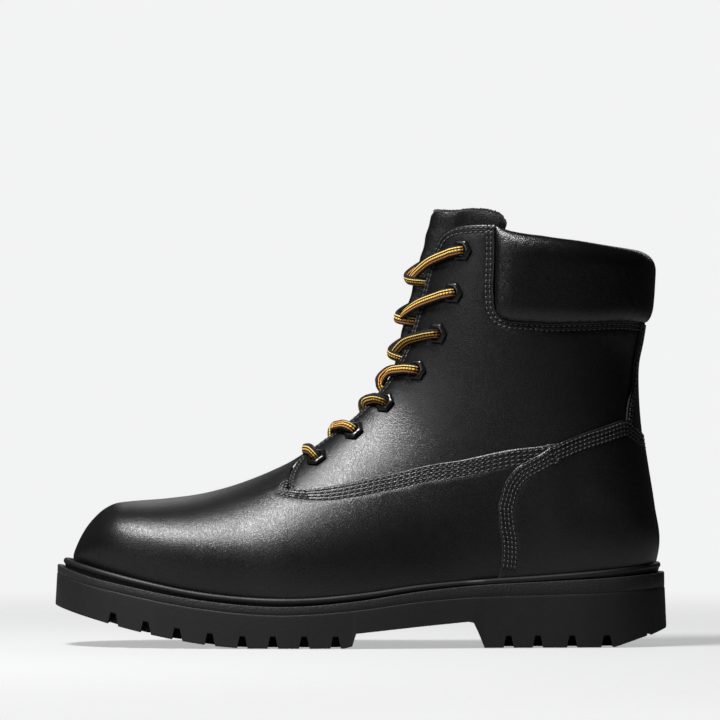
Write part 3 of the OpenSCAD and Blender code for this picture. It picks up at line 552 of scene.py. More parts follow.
def shell(outer, inner):
    """A closed sheet between two grids of points."""
    n, m = outer.shape[:2]
    faces = grid_faces(n, m)
    half = n * m
    loop = np.concatenate([np.arange(m - 1), np.arange(n - 1) * m + m - 1,
                           half - 1 - np.arange(m - 1), (n - 1 - np.arange(n - 1)) * m])
    after = np.roll(loop, -1)
    rim = np.stack([loop, after, after + half, loop + half], -1)
    all_faces = np.concatenate([faces, faces[:, ::-1] + half, rim])
    verts = np.concatenate([outer.reshape(-1, 3), inner.reshape(-1, 3)])
    face = faces[len(faces) // 2]
    a, b, c = verts[face[[0, 1, 3]]]
    if faces_in(a, b, c, a - verts[face[0] + half]):
        all_faces = all_faces[:, ::-1]
    return verts, all_faces


def lengths(places):
    return run_along(base(*places.T))


def resample(places, step):
    """The same line of places, evenly spaced on the surface."""
    s = lengths(places)
    n = max(2, int(round(s[-1] / step)) + 1)
    t = np.linspace(0, s[-1], n)
    return spread(t, s, places)


def inset(places, distance):
    """A line of places moved to its left on the surface by a distance in mm."""
    p = base(*places.T)
    tangent = unit(np.gradient(p, axis=0))
    df, dg = slopes(*places.T)
    left = np.cross(unit(np.cross(df, dg)), tangent) * np.reshape(distance, (-1, 1))
    ff, fg, gg = (df * df).sum(1), (df * dg).sum(1), (dg * dg).sum(1)
    a, b = (left * df).sum(1), (left * dg).sum(1)
    det = np.maximum(ff * gg - fg * fg, 1e-9)
    return places + np.stack([(gg * a - fg * b) / det, (ff * b - fg * a) / det], -1)


def inside(points, polygon):
    """Which points lie in a polygon (even-odd)."""
    x, y = points[:, 0], points[:, 1]
    hit = np.zeros(len(points), bool)
    a, b = polygon, np.roll(polygon, -1, axis=0)
    for (x0, y0), (x1, y1) in zip(a, b):
        if y0 != y1:
            hit ^= ((y0 > y) != (y1 > y)) & (x < (x1 - x0) * (y - y0) / (y1 - y0) + x0)
    return hit


def tree_of(points):
    tree = kdtree.KDTree(len(points))
    for i, co in enumerate(points):
        tree.insert(co, i)
    tree.balance()
    return tree


def gaps(tree, points):
    """How far points are from the nearest point of a tree."""
    return np.array([tree.find(p)[2] for p in points])


def flat3(xy):
    return np.c_[xy, np.zeros(len(xy))]


def triangulate(points, edges, loop, holes, merge, least):
    """Triangles between points, inside a loop and outside its holes, with edges held: the
    points used, the triangles, and for each point used where it was given, or -1."""
    vs, _, tris, origin, _, _ = geometry.delaunay_2d_cdt(
        [Vector(p) for p in points.tolist()], edges, [], 0, merge)
    xy = np.array([tuple(v) for v in vs])
    tris = np.array([t for t in tris if len(t) == 3])
    centre = xy[tris].mean(1)
    keep = inside(centre, loop)
    for hole in holes:
        keep &= ~inside(centre, hole)
    tris = tris[keep]
    a, b, c = xy[tris[:, 0]], xy[tris[:, 1]], xy[tris[:, 2]]
    (bx, by), (cx, cy) = (b - a).T, (c - a).T
    area = bx * cy - cx * by
    tris = np.where((area > 0)[:, None], tris, tris[:, ::-1])[np.abs(area) > least]
    used, inverse = np.unique(tris, return_inverse=True)
    given = np.array([origin[i][0] if len(origin[i]) else -1 for i in used])
    return xy[used], inverse.reshape(tris.shape), given


def loop_edges(first, n):
    return [(first + i, first + (i + 1) % n) for i in range(n)]


class Plane:
    """Lays places out flat for triangulation: the shaft in rows, the toe as a disc."""

    SCALE = (4.6, 0.66)
    WEDGE = 0.6

    def __init__(self, disc):
        self.disc = disc
        self.fans = np.linspace(FAN_LOW, 60, 2000)
        side = base(self.fans, 60.0)
        self.r = run_along(side)

    def flat(self, p):
        if not self.disc:
            return p * self.SCALE
        r, w = np.interp(p[:, 0], self.fans, self.r), np.radians(p[:, 1] * self.WEDGE)
        return np.stack([r * np.cos(w), r * np.sin(w)], -1)

    def back(self, xy):
        if not self.disc:
            return xy / self.SCALE
        r = np.hypot(xy[:, 0], xy[:, 1])
        return np.stack([np.interp(r, self.r, self.fans),
                         np.degrees(np.arctan2(xy[:, 1], xy[:, 0])) / self.WEDGE], -1)


class Panel:
    """A piece of leather cut out of the upper's surface."""

    STEP = 1.3
    GROOVE = 0.3
    CUT_EDGE = ((0.35, 0.14), (0.95, 0.0))
    GATHER = 26
    HOLE_POINTS = 20

    def __init__(self, edges, out, thick, cut=(), disc=False, spacing=3.2):
        """edges are lines of places joined end to end; out is the outer face's depth and
        thick its thickness, numbers or functions of places; cut lists the edges that show and
        are rounded."""
        self.out, self.thick, self.spacing = out, thick, spacing
        self.plane = Plane(disc)
        self.edges = [resample(np.asarray(e, float), self.STEP) for e in edges]
        self.loop = np.concatenate([e[:-1] for e in self.edges])
        self.loop_flat = self.plane.flat(self.loop)
        x, y = self.loop_flat.T
        self.turn = 1 if np.sum(x * np.roll(y, -1) - np.roll(x, -1) * y) > 0 else -1
        self.loop_tree = tree_of(base(*self.loop.T))
        self.marks, self.holes, self.cut = [], [], set()
        for i in cut:
            for d, drop in self.CUT_EDGE:
                self.mark(inset(self.edges[i], d * self.turn), drop, d * 0.8)
            self.cut |= {tuple(np.round(p, 6)) for p in self.edges[i]}

    def mark(self, places, drop, clear=0.7):
        """Adds points on a line, away from the edges, that a drop presses in."""
        keep = inside(self.plane.flat(places), self.loop_flat)
        keep &= gaps(self.loop_tree, base(*places.T)) > clear
        self.marks.append((places[keep], drop))

    def depth(self, places):
        return self.out(places) if callable(self.out) else np.full(len(places), float(self.out))

    def row(self, edge, distance, low=0.0, high=1.0, gather=None):
        """A row of stitching beside part of an edge: returns its places and presses it in.
        gather draws it in towards the edge near the first (0) or the last (1) end."""
        e = self.edges[edge]
        last = len(e) - 1
        part = e[int(low * last):int(round(high * last)) + 1]
        d = np.full(len(part), float(distance))
        if gather is not None:
            run = lengths(part)
            run = run if gather == 0 else run[-1] - run
            d *= 0.55 + 0.45 * smooth(run / self.GATHER)
        places = resample(inset(part, d * self.turn), self.STEP)
        self.mark(places, self.GROOVE)
        for side in (-0.8, 0.8):
            self.mark(inset(places, side), 0.0)
        return places

    def hole(self, place, radius):
        df, dg = slopes(np.array([place[0]]), np.array([place[1]]))
        w = circle(self.HOLE_POINTS)
        self.holes.append(np.stack([place[0] + radius * np.cos(w) / np.linalg.norm(df),
                                    place[1] + radius * np.sin(w) / np.linalg.norm(dg)], -1))

    def lattice(self):
        """Points between the lines, in rows across the fan."""
        low, high = self.loop.min(0), self.loop.max(0)
        rows, f, k = [], low[0] + 0.02, 0
        gs = np.linspace(low[1], high[1], 400)
        while f < high[0]:
            s = run_along(base(f, gs))
            count = max(int(s[-1] / self.spacing), 2)
            t = (np.arange(count) + (0.5 if k % 2 else 0.0)) * s[-1] / count
            rows.append(np.stack([np.full(count, f), np.interp(t, s, gs)], -1))
            rate = np.linalg.norm(base(f + 0.05, gs[::40]) - base(f, gs[::40]), axis=1) / 0.05
            f += self.spacing * 0.87 / max(rate.max(), 1.0)
            k += 1
        return np.concatenate(rows)

    def build(self, name, **kw):
        edge_drop = np.array([0.5 if tuple(np.round(p, 6)) in self.cut else 0.0
                              for p in self.loop])
        marks = [(self.loop, edge_drop)] + [(h, np.full(len(h), 0.15)) for h in self.holes]
        marks += [(m, np.full(len(m), d)) for m, d in self.marks]
        places = np.concatenate([m[0] for m in marks])
        drops = np.concatenate([m[1] for m in marks])
        loose, holes = self.lattice(), [self.plane.flat(h) for h in self.holes]
        loose = loose[inside(self.plane.flat(loose), self.loop_flat)]
        far = gaps(tree_of(base(*places.T)), base(*loose.T)) > self.spacing * 0.45
        for h in holes:
            far &= ~inside(self.plane.flat(loose), h)
        places = np.concatenate([places, loose[far]])
        drops = np.concatenate([drops, np.zeros(int(far.sum()))])
        edges, k = [], 0
        for ring in [self.loop] + self.holes:
            edges += loop_edges(k, len(ring))
            k += len(ring)
        xy, tris, source = triangulate(self.plane.flat(places), edges, self.loop_flat, holes,
                                       1e-5, 1e-7)
        at = self.plane.back(xy)
        at[source >= 0] = places[source[source >= 0]]
        drop = np.where(source >= 0, drops[source], 0.0)
        outer_d = self.depth(at)
        outer = point(at[:, 0], at[:, 1], outer_d - drop)
        thick = self.thick(at) if callable(self.thick) else self.thick
        inner = point(at[:, 0], at[:, 1], outer_d - thick)
        n = len(at)
        half = np.concatenate([tris[:, [0, 1]], tris[:, [1, 2]], tris[:, [2, 0]]])
        key = {(int(i), int(j)) for i, j in half}
        rim = [(i, j) for i, j in sorted(key) if (j, i) not in key]
        faces = tris.tolist() + [[t[2] + n, t[1] + n, t[0] + n] for t in tris.tolist()]
        first_rim = len(faces)
        faces += [[j, i, i + n, j + n] for i, j in rim]
        # The rims take the lighter cut-edge leather, partly painted highlight
        return add(name, np.concatenate([outer, inner]), faces, kw.pop("material", LEATHER),
                   second=LEATHER_CUT_LIT, second_faces=range(first_rim, len(faces)), **kw)


# ---- Stitching -----------------------------------------------------------------------------

# Six rings of a stitch: place along it, share of its width, and how far it is raised, mm
STITCH_ALONG = np.array([-0.5, -0.42, -0.2, 0.2, 0.42, 0.5])
STITCH_SWELL = np.array([0.4, 0.85, 1.0, 1.0, 0.85, 0.4])
STITCH_SINK = np.array([-0.6, -0.1, 0.1, 0.1, -0.1, -0.6])
# Share of the pitch that a stitch covers
STITCH_SHARE = 0.8


def stitch_rows(name, rows, pitch, width=0.46, lean=9, thread=THREAD):
    """Lockstitches: each thread comes up out of its needle hole, lies along the row and
    dives down again into the next hole; the shade in each hole is a painted near-black disc."""
    w = np.arange(6) * math.pi / 3
    wide = np.arange(8) * math.pi / 4
    stitch = grid_faces(6, 6, closed=True).tolist() + [c[::-1] for c in end_caps(6, 6)]
    shade_disc = [[i, (i + 1) % 8, 8] for i in range(8)] + [[(i + 1) % 8, i, 9] for i in range(8)]
    verts, faces, holes, total_v = [], [], [], 0
    for places, depth in rows:
        line = resample(places, pitch / 4)
        d = depth(line) if callable(depth) else float(depth)
        p = point(line[:, 0], line[:, 1], d)
        nrm = normal(*line.T)
        total = run_along(p)
        count = max(int(total[-1] / pitch), 1)

        def frames(where):
            here, up = spread(where, total, p), unit(spread(where, total, nrm))
            along = unit(spread(np.minimum(where + 0.4, total[-1]), total, p)
                         - spread(np.maximum(where - 0.4, 0), total, p))
            return here, up, along, np.cross(up, along)

        here, up, along, across = frames((np.arange(count) + 0.5) * total[-1] / count)
        a = math.radians(lean)
        along, across = (along * math.cos(a) + across * math.sin(a),
                         across * math.cos(a) - along * math.sin(a))
        size = total[-1] / count * STITCH_SHARE
        for c, t, b, u in zip(here, along, across, up):
            pts = (c + (STITCH_ALONG * size)[:, None, None] * t
                   + (width * STITCH_SWELL)[:, None, None] * (np.cos(w)[None, :, None] * b)
                   + (0.8 * width * STITCH_SWELL[:, None] * np.sin(w)[None, :]
                      + STITCH_SINK[:, None])[..., None] * u)
            verts.append(pts.reshape(-1, 3))
            faces += [[i + total_v for i in f] for f in stitch]
            total_v += len(verts[-1])
        # A near-black disc at each stitch end: painted shade of its needle hole
        here, up, along, across = frames(np.arange(count + 1) * total[-1] / count)
        for c, t, b, u in zip(here, along, across, up):
            edge = c + 0.62 * np.cos(wide)[:, None] * t + 0.5 * np.sin(wide)[:, None] * b
            verts.append(np.concatenate([edge, [c + 0.2 * u, c - 0.4 * u]]))
            holes += range(len(faces), len(faces) + len(shade_disc))
            faces += [[i + total_v for i in f] for f in shade_disc]
            total_v += len(verts[-1])
    return add(name, np.concatenate(verts), faces, thread, flat_angle=0, second=HOLE_SHADE,
               second_faces=holes)


# ---- Camera, floor and light -------------------------------------------------------------

LENS_MM, SENSOR_MM, CLIP_END = 440.0, 36.0, 100.0
CAMERA_TARGET, CAMERA_DISTANCE = Vector((0.0, 0.0, 0.1454)), 4.5
CAMERA_LIFT = math.radians(0.4)
FLOOR_RADII = (0.1, 0.2, 0.3, 0.45, 0.6, 0.8, 1.1)
FLOOR_POINTS = 96
FLOOR_Z = -0.0003
# The floor is see-through, and fades out between two distances from the middle
FLOOR_ALPHA, FLOOR_FADE = 0.5, (0.25, 0.9)
# The world is dim as a light, and bright where the camera sees it
WORLD_LIGHT, WORLD_SEEN = 0.02, 0.93
# Name, place, size, watts and what it looks at
LIGHTS = (("overhead", (-0.5, -0.42, 1.24), (0.45, 0.3), 31, (-0.06, 0, 0.08)),
          ("near_left", (-1.1, -1.0, 0.62), (0.4, 0.4), 2.4, (0, 0, 0.1)),
          ("behind", (0.3, 1.7, 0.9), (1.2, 0.7), 4.0, (0, 0, 0.1)))


def look(obj, target):
    obj.rotation_euler = (Vector(target) - obj.location).to_track_quat("-Z", "Y").to_euler()


def make_camera():
    data = bpy.data.cameras.new("camera")
    data.lens, data.sensor_width, data.clip_end = LENS_MM, SENSOR_MM, CLIP_END
    cam = link("camera", data)
    away = Vector((0.0, -math.cos(CAMERA_LIFT), math.sin(CAMERA_LIFT)))
    cam.location = CAMERA_TARGET + CAMERA_DISTANCE * away
    look(cam, CAMERA_TARGET)
    bpy.context.scene.camera = cam


def make_light(name, at, size, power, target):
    data = bpy.data.lights.new(name, "AREA")
    data.shape, data.size, data.size_y, data.energy = "RECTANGLE", size[0], size[1], power
    obj = link(name, data)
    obj.location = at
    obj.visible_camera = False
    look(obj, target)


def make_stage():
    """A pale floor that fades out into a plain pale world, and the lights."""
    n = FLOOR_POINTS
    w = circle(n)
    ring = np.stack([np.cos(w), np.sin(w), np.zeros(n)], -1)
    verts = np.concatenate([[[0, 0, 0]]] + [ring * r for r in FLOOR_RADII])
    faces = [[0, 1 + i, 1 + (i + 1) % n] for i in range(n)]
    faces += (grid_faces(len(FLOOR_RADII), n, closed=True) + 1).tolist()
    mesh = bpy.data.meshes.new("floor")
    mesh.from_pydata(verts.tolist(), [], faces)
    obj = link("floor", mesh)
    obj.location.z = FLOOR_Z
    m = Mat("paper_floor")
    m.set(Base_Color=m.blend(m.noise(m.coords(), 3.0), rgb(0.56, 0.56, 0.562),
                             rgb(0.58, 0.58, 0.582)), Roughness=0.8, Specular_IOR_Level=0.1)
    at = m.node("ShaderNodeSeparateXYZ", {"Vector": m.coords()}).outputs
    away = m.math("SQRT", m.plus(m.math("POWER", at["X"], 2.0), m.math("POWER", at["Y"], 2.0)))
    m.set(Alpha=m.node("ShaderNodeMapRange", {
        "Value": away, "From Min": FLOOR_FADE[0], "From Max": FLOOR_FADE[1],
        "To Min": FLOOR_ALPHA, "To Max": 0.0}, interpolation_type="SMOOTHSTEP"
        ).outputs["Result"])
    mesh.materials.append(m.mat)
    world = bpy.data.worlds.new("studio")
    bpy.context.scene.world = world
    world.use_nodes = True
    nodes, links = world.node_tree.nodes, world.node_tree.links
    back = nodes["Background"]
    back.inputs["Color"].default_value = rgb(0.96, 0.962, 0.97)
    seen = nodes.new("ShaderNodeLightPath")
    level = nodes.new("ShaderNodeMapRange")
    level.inputs["To Min"].default_value = WORLD_LIGHT
    level.inputs["To Max"].default_value = WORLD_SEEN
    links.new(seen.outputs["Is Camera Ray"], level.inputs["Value"])
    links.new(level.outputs["Result"], back.inputs["Strength"])
    bpy.context.scene.view_settings.view_transform = "Standard"
    for light in LIGHTS:
        make_light(*light)


make_camera()
make_stage()

# ---- Laces --------------------------------------------------------------------------------

tongue_mid = line([(25.6, 0.2), (27, -0.3), (29, -2.5), (31, -4.6), (34, -5), (43, -5),
                   (47, -2.4), (51, -0.6), (60, -0.5), (72, -0.5)])
tongue_side = line([(25.6, -0.6), (26.8, -1.4), (27.6, -2.2), (29, -5.5), (31, -8.6),
                    (34, -9.3), (60, -9.4), (66, -9.2), (69, -8), (72, -7)])
eyelet_place = {s: [locate(e, s)[0] for e in EYELETS] for s in SIDES}


def facing(fan, side, extra=0.0):
    return np.array([fan, side * (float(facing_edge(np.clip(fan, *FACING_FANS))) + extra)])


def lead(a, edge, far, depth):
    """A stop on the lace's way from an eyelet towards the facing's edge."""
    d = np.linalg.norm(base(*a) - base(*edge))
    return [*mix(a, edge, min(far / d, 0.8)), depth]


# Fan angles at which the lace's runs cross the tongue's middle
CROSS_FANS = [35.4, 40.2, 44.0, 47.8, 52.2, 57.3]
TOP_EYELET = len(EYELETS) - 1
# Depths of the crossings: above the tongue, at least, and how much the upper run is over the
# lower one
OVER_TONGUE, LOWEST_CROSSING, UPPER_RUN = 1.4, -1.9, 2.8
# Depths in an eyelet's barrel: where the lace goes in under the leather, and comes out
BARREL_IN, BARREL_OUT = -2, 2.2
# Stops under the leather (mm from the eyelet's middle, depth) and the depth at the facing
UNDER_QUARTER, UNDER_FACING = ((1.2, -5.6), (5.5, -6.25)), -4.9
# Half width and half height of the lace's section, mm
LACE_HALF, TAIL_HALF = (2.65, 1.3), (2.1, 2.0)
AGLET_Z = np.array([0.1, 0.3, 1.2, 7, 13, 14.4, 15.0])
AGLET_R = np.array([1.5, 1.88, 1.9, 1.86, 1.82, 1.55, 0.9])
AGLET_POINTS = 20
# Stops over an eyelet's rim (mm from its middle, depth)
OVER_RIM = ((6.6, 3.1), (3.2, 3.8))


def into(place, edge):
    """Stops from the facing's edge over an eyelet's rim and down into its hole."""
    return [lead(place, edge, *stop) for stop in OVER_RIM] + [[*place, BARREL_OUT]]


def hop(n, side, high):
    """Stops from eyelet n on one side, under the facing and over the tongue, into the next
    eyelet on the other side."""
    a, b = eyelet_place[side][n], eyelet_place[-side][n + 1]
    fm = CROSS_FANS[n]
    fa = mix(a[0], fm, 1 - float(facing_edge(a[0])) / abs(a[1]))
    fb = mix(b[0], fm, 1.1 - float(facing_edge(b[0])) / abs(b[1]))
    ea, eb = facing(fa, side), facing(fb, -side)
    mid = max(float(tongue_mid(fm)) + OVER_TONGUE, LOWEST_CROSSING) + (UPPER_RUN if high else 0)
    return ([[*a, BARREL_IN]] + [lead(a, ea, *stop) for stop in UNDER_QUARTER]
            + [[*ea, UNDER_FACING], [fm, 0, mid], [*eb, 2.3 if high else 1.8]] + into(b, eb))


def strand(side):
    """One end of the lace, from a bottom eyelet up to a top one; the runs that start on the
    lateral side at the bottom lie over the others."""
    out = []
    for n in range(TOP_EYELET):
        out += hop(n, side, side == LATERAL)
        side = -side
    return out


def bar(side):
    """Half of the straight run between the two bottom eyelets."""
    a = eyelet_place[side][0]
    e = np.array([a[0] - 0.7, side * float(facing_edge(a[0]))])
    return [[*e, 2]] + into(a, e)


def lace_stops():
    first, last = ([[*eyelet_place[s][TOP_EYELET], BARREL_IN]] for s in SIDES)
    return (first + strand(LATERAL)[::-1] + bar(LATERAL)[::-1]
            + bar(MEDIAL) + strand(MEDIAL) + last)


def lace_end_stops(side):
    """A free end, tucked in between the quarter's lining and the tongue."""
    f, g = eyelet_place[side][TOP_EYELET]
    return [[f, g, -2.7], [f - 0.1, g + side * 1.2, -5]] + [
        [a, side * b, c] for a, b, c in (
            (63.2, 51.5, -6.4), (61.6, 55, -6.7), (58.5, 57, -6.7), (55, 56.5, -6.8),
            (51.5, 56.5, -7.3), (48.5, 60, -9), (45.8, 66, -11), (43.4, 71, -12))]


def lay_lace(stops, per):
    """Centreline through stops on the upper, and the direction that its flat side faces."""
    stops = np.array(stops, float)
    here = point(stops[:, 0], stops[:, 1], stops[:, 2])
    t = np.linspace(0, 1, (len(stops) - 1) * per + 1)
    centre = path(here)(t)
    face = unit(path(normal(*stops[:, :2].T))(t))
    tangent = unit(np.gradient(centre, axis=0))
    up = np.empty_like(centre)
    n = face[0]
    n = unit(n - tangent[0] * (n @ tangent[0]) + 1e-3)
    for i, (tan, f) in enumerate(zip(tangent, face)):
        n = unit(n - tan * (n @ tan))
        want = f - tan * (f @ tan)
        size = np.linalg.norm(want)
        if size > 0.35:
            want = n if want @ n / size < -0.2 else want / size
            n = unit(mix(n, want, min(0.35, size * 0.4)))
            n = unit(n - tan * (n @ tan))
        up[i] = n
    return centre, tangent, up


def sweep(name, centre, tangent, up, half, around=16, power=2.3, **kw):
    """A flattened cord along a centreline, with U round it and V along it in mm; where the
    section lies the other way up, U is mirrored so that its stripes keep their sides: the
    orange-red stripe stays on the lower edge as painted shade."""
    half_w, half_h = half
    w = circle(around)
    across = np.cross(tangent, up)
    c, s = np.cos(w), np.sin(w)
    x = np.sign(c) * np.abs(c) ** (2 / power) * half_w
    y = np.sign(s) * np.abs(s) ** (2 / power) * half_h
    pts = centre[:, None] + across[:, None] * x[None, :, None] + up[:, None] * y[None, :, None]
    n = len(centre)
    faces = grid_faces(n, around, closed=True).tolist()
    caps = end_caps(n, around)
    run = run_along(centre)
    outward = np.stack([np.full(n, -40.0), centre[:, 1], np.full(n, 30.0)], -1)
    # turned marks where U is mirrored, keeping the orange-red stripe, painted shade, on the lower
    # edge
    turned = across[:, 2] * (up * outward).sum(-1) < 0
    uv = []
    for i in range(n - 1):
        for j in range(around):
            a, b = j / around, (j + 1) / around
            if turned[i]:
                a, b = 0.5 - a, 0.5 - b
            uv += [(a, run[i]), (a, run[i + 1]), (b, run[i + 1]), (b, run[i])]
    uv += [(j / around, run[0]) for j in range(around)]
    uv += [(j / around, run[-1]) for j in range(around)]
    verts = pts.reshape(-1, 3)
    if faces_in(verts[0], verts[around], verts[1], verts[0] - centre[0]):
        faces = [f[::-1] for f in faces]
        uv = [uv[i * 4 + 3 - k] for i in range((n - 1) * around) for k in range(4)] + uv[
            (n - 1) * around * 4:]
    else:
        caps = [f[::-1] for f in caps]
    return add(name, verts, faces + caps, LACE, slot="striped_lace", uv=uv, flat_angle=60, **kw)


def make_laces():
    sweep("lace_run", *lay_lace(lace_stops(), 8), LACE_HALF, replaces=["lace"])
    w = circle(AGLET_POINTS)
    for side in SIDES:
        name = SIDE_NAME[side]
        centre, tangent, up = lay_lace(lace_end_stops(side), 6)
        end = sweep("lace_tail_" + name, centre, tangent, up, TAIL_HALF,
                    replaces=["lace_end_" + name])
        tip, d = centre[-1], tangent[-1]
        across = unit(np.cross(d, up[-1]))
        up_tip = np.cross(across, d)
        rings = (tip + AGLET_Z[:, None, None] * d + AGLET_R[:, None, None] * (
            np.cos(w)[None, :, None] * across + np.sin(w)[None, :, None] * up_tip))
        faces = grid_faces(len(AGLET_Z), AGLET_POINTS, closed=True)[:, ::-1].tolist()
        faces += end_caps(len(AGLET_Z), AGLET_POINTS)
        tube = add("aglet_tube_" + name, rings.reshape(-1, 3), faces, AGLET,
                   slot="aglet_plastic", replaces=["aglet_" + name])
        length = run_along(centre)[-1] * MM
        [tuple(p * MM) for p in centre[::2]]


make_laces()

# ---- Upper --------------------------------------------------------------------------------

def wrap(places):
    """Girth counted on past the back, for pieces that run round the heel."""
    p = np.array(places, float)
    p[:, 1] = np.where(p[:, 1] < 0, p[:, 1] + 360, p[:, 1])
    return p


def smooth_line(points, n=80):
    return path(points)(np.linspace(0, 1, n))


VAMP_START = FAN_LOW + 0.006
TACK_MIDDLE, TACK_RADII = (-36.6, 78.6), (1.3, 2.5, 3.8)
HOLE_RADIUS = 3.5
VAMP_ROWS, HEEL_ROWS = (1.7, 3.8, 5.9, 8.0), (1.4, 3.35, 5.3, 7.2)


def vamp_depth(places):
    """The vamp lies close on the toe cap and over the quarters; its lip sinks to their level
    between them."""
    fan, g = places[:, 0], np.abs(places[:, 1])
    side = 1 - smooth((34 - g) / 8)
    return (0.2 + 1.8 * smooth((base(*places.T)[:, 0] + 62) / 26) * side
            - 0.35 * smooth((fan - 26.2) / 3.0) * (1 - side))


def vamp_thickness(places):
    return np.maximum(vamp_depth(places) - 0.05, 0.22)


def make_vamp():
    fans = VAMP_START + (THROAT_FAN - FAN_LOW - 0.006) * np.linspace(0, 1, 60) ** 1.8
    toward = {s: hem(np.concatenate([fans, np.linspace(THROAT_FAN, 42.5, 30)[1:]]), s)
              for s in SIDES}
    seam = {s: smooth_line(located(VAMP_SEAM, s)) for s in SIDES}
    lip = [[f, float(facing_edge(f)) + 0.5] for f in (27.75, 28.3, 28.8, 29.4, 30.1, 30.8)]
    throat = smooth_line([seam[LATERAL][0]] + [[f, -g] for f, g in lip] + [[31.1, 0]]
                         + lip[::-1] + [seam[MEDIAL][0]], 90)
    tip = np.stack([np.full(40, fans[0]), np.linspace(toward[MEDIAL][0, 1],
                                                      toward[LATERAL][0, 1], 40)], -1)
    edges = [throat, seam[MEDIAL],
             np.linspace(seam[MEDIAL][-1], toward[MEDIAL][-1], 20), toward[MEDIAL][::-1], tip,
             toward[LATERAL], np.linspace(toward[LATERAL][-1], seam[LATERAL][-1], 20),
             seam[LATERAL][::-1]]
    panel = Panel(edges, vamp_depth, vamp_thickness, cut=(0, 1, 7), disc=True)
    rows = []
    for edge, start in ((1, 0), (7, 1)):
        for d in VAMP_ROWS:
            rows.append((panel.row(edge, d, gather=start), lambda p: vamp_depth(p) - 0.15))
    panel.build("vamp_leather", replaces=["vamp"])
    stitch_rows("vamp_stitches", rows, 3.1)
    tacks = []
    for s in SIDES:
        for r in TACK_RADII:
            w = np.radians(np.linspace(75, 285, 24))
            arc = locate(np.stack([TACK_MIDDLE[0] + r * np.cos(w),
                                   TACK_MIDDLE[1] + 1.05 * r * np.sin(w)], -1), s)
            tacks.append((arc, lambda p: np.maximum(vamp_depth(p), 0.4) + 0.05))
    # The tacks' light grey thread is painted highlight
    stitch_rows("bar_tacks", tacks, 1.9, 0.5, 0, thread=TACK_THREAD_LIT)


def make_quarter(side):
    name = SIDE_NAME[side]
    low = smooth_line(np.concatenate([
        located([(-34, 73), (-6, 73), (22, 77), (50, 80), (66, 72), (72, 54)], side),
        hem_to_back([40.2, 42.5, 44.7, 46.4, 47.6, 48.4], side)]))
    top = smooth_line(located(QUARTER_TOP, side), 40)
    seam = smooth_line(line_to_back(COLLAR_SEAM, COLLAR_SEAM_BACK, side), 90)
    near = smooth_line(np.concatenate([[low[0]], [facing(f, side) for f in np.linspace(
        THROAT_FAN + 0.6, 62, 13)], [top[0]]]), 90)
    far = np.linspace(low[-1], seam[-1], 30)
    edges = [low, far, seam[::-1], top[::-1], near[::-1]]
    panel = Panel(edges, 0.0, 1.6, cut=(3, 4))
    rows = [(panel.row(edge, d, 0.0, end), -0.1) for edge, d, end in (
        (2, 1.7, 1.0), (2, 3.8, 1.0), (3, 1.5, 1.0), (3, 3.7, 1.0), (4, 1.1, 0.93),
        (4, 3.0, 0.93))]
    for place in eyelet_place[side]:
        panel.hole(place, HOLE_RADIUS)
    panel.build("quarter_leather_" + name, replaces=["quarter_" + name])
    stitch_rows("quarter_stitches_" + name, rows, 2.7)


def patch_depth(places):
    """The heel leather lies on the vamp's, and sinks towards the quarter at its top."""
    p = base(*places.T)
    return 3.95 - 1.5 * smooth((p[:, 0] - 97) / 16) * smooth((p[:, 2] - 48) / 25)


def make_heel_patch():
    low, front = {}, {}
    for s in SIDES:
        low[s] = hem_to_back([39.4, 42, 44.3, 46.2, 47.5, 48.4], s)
        front[s] = smooth_line(np.concatenate([
            [low[s][0]], line_to_back(PATCH_EDGE, PATCH_BACK_Z, s)]), 120)
    medial, lateral = wrap(front[MEDIAL]), wrap(front[LATERAL])
    foot_m, foot_l = wrap(smooth_line(low[MEDIAL], 60)), wrap(smooth_line(low[LATERAL], 60))
    edges = [medial, lateral[::-1], foot_l, foot_m[::-1]]
    panel = Panel(edges, patch_depth, 1.6, cut=(0, 1), spacing=3.0)
    rows = []
    for edge, span in ((0, (0.05, 0.97)), (1, (0.03, 0.95))):
        for d in HEEL_ROWS:
            rows.append((panel.row(edge, d, *span), lambda p: patch_depth(p) - 0.12))
    panel.build("heel_leather", replaces=["heel_patch"])
    stitch_rows("heel_stitches", rows, 2.4, 0.38)


def make_backstay():
    edge = smooth_line(located([(134.6, 106), (135, 116.6), (135.9, 124), (138.6, 136.8),
                                (141.6, 156), (142.8, 164.2)], MEDIAL), 50)
    other = edge.copy()
    other[:, 1] = 360 - edge[:, 1]
    edges = [edge, np.linspace(edge[-1], other[-1], 12), other[::-1],
             np.linspace(other[0], edge[0], 12)]
    panel = Panel(edges, 1.7, 1.4, cut=(0, 2), spacing=2.6)
    rows = [(panel.row(e, d), 1.6) for e in (0, 2) for d in (1.4, 3.2)]
    panel.build("backstay_leather", replaces=["backstay"])
    stitch_rows("backstay_stitches", rows, 2.6)


def make_eyestay(side):
    name = SIDE_NAME[side]
    back = smooth_line(located(EYESTAY_BACK, side), 60)
    near = np.array([facing(f, side, 1.0) for f in np.linspace(THROAT_FAN + 2.4, 63, 60)])
    panel = Panel([back, np.linspace(back[-1], near[-1], 12), near[::-1],
                   np.linspace(near[0], back[0], 12)], -1.9, 0.8, spacing=4)
    for place in eyelet_place[side]:
        panel.hole(place, HOLE_RADIUS)
    panel.build("eyestay_leather_" + name, replaces=["eyestay_" + name])


def arch(fans, m):
    """Rows of places over the forefoot, from hem to hem."""
    rows = []
    for f in fans:
        a, b = hem(f, LATERAL)[0, 1], hem(f, MEDIAL)[0, 1]
        k = np.linspace(-1, 1, m)
        rows.append(np.stack([np.full(m, f), np.where(k < 0, -k * a, k * b)], -1))
    return np.array(rows)


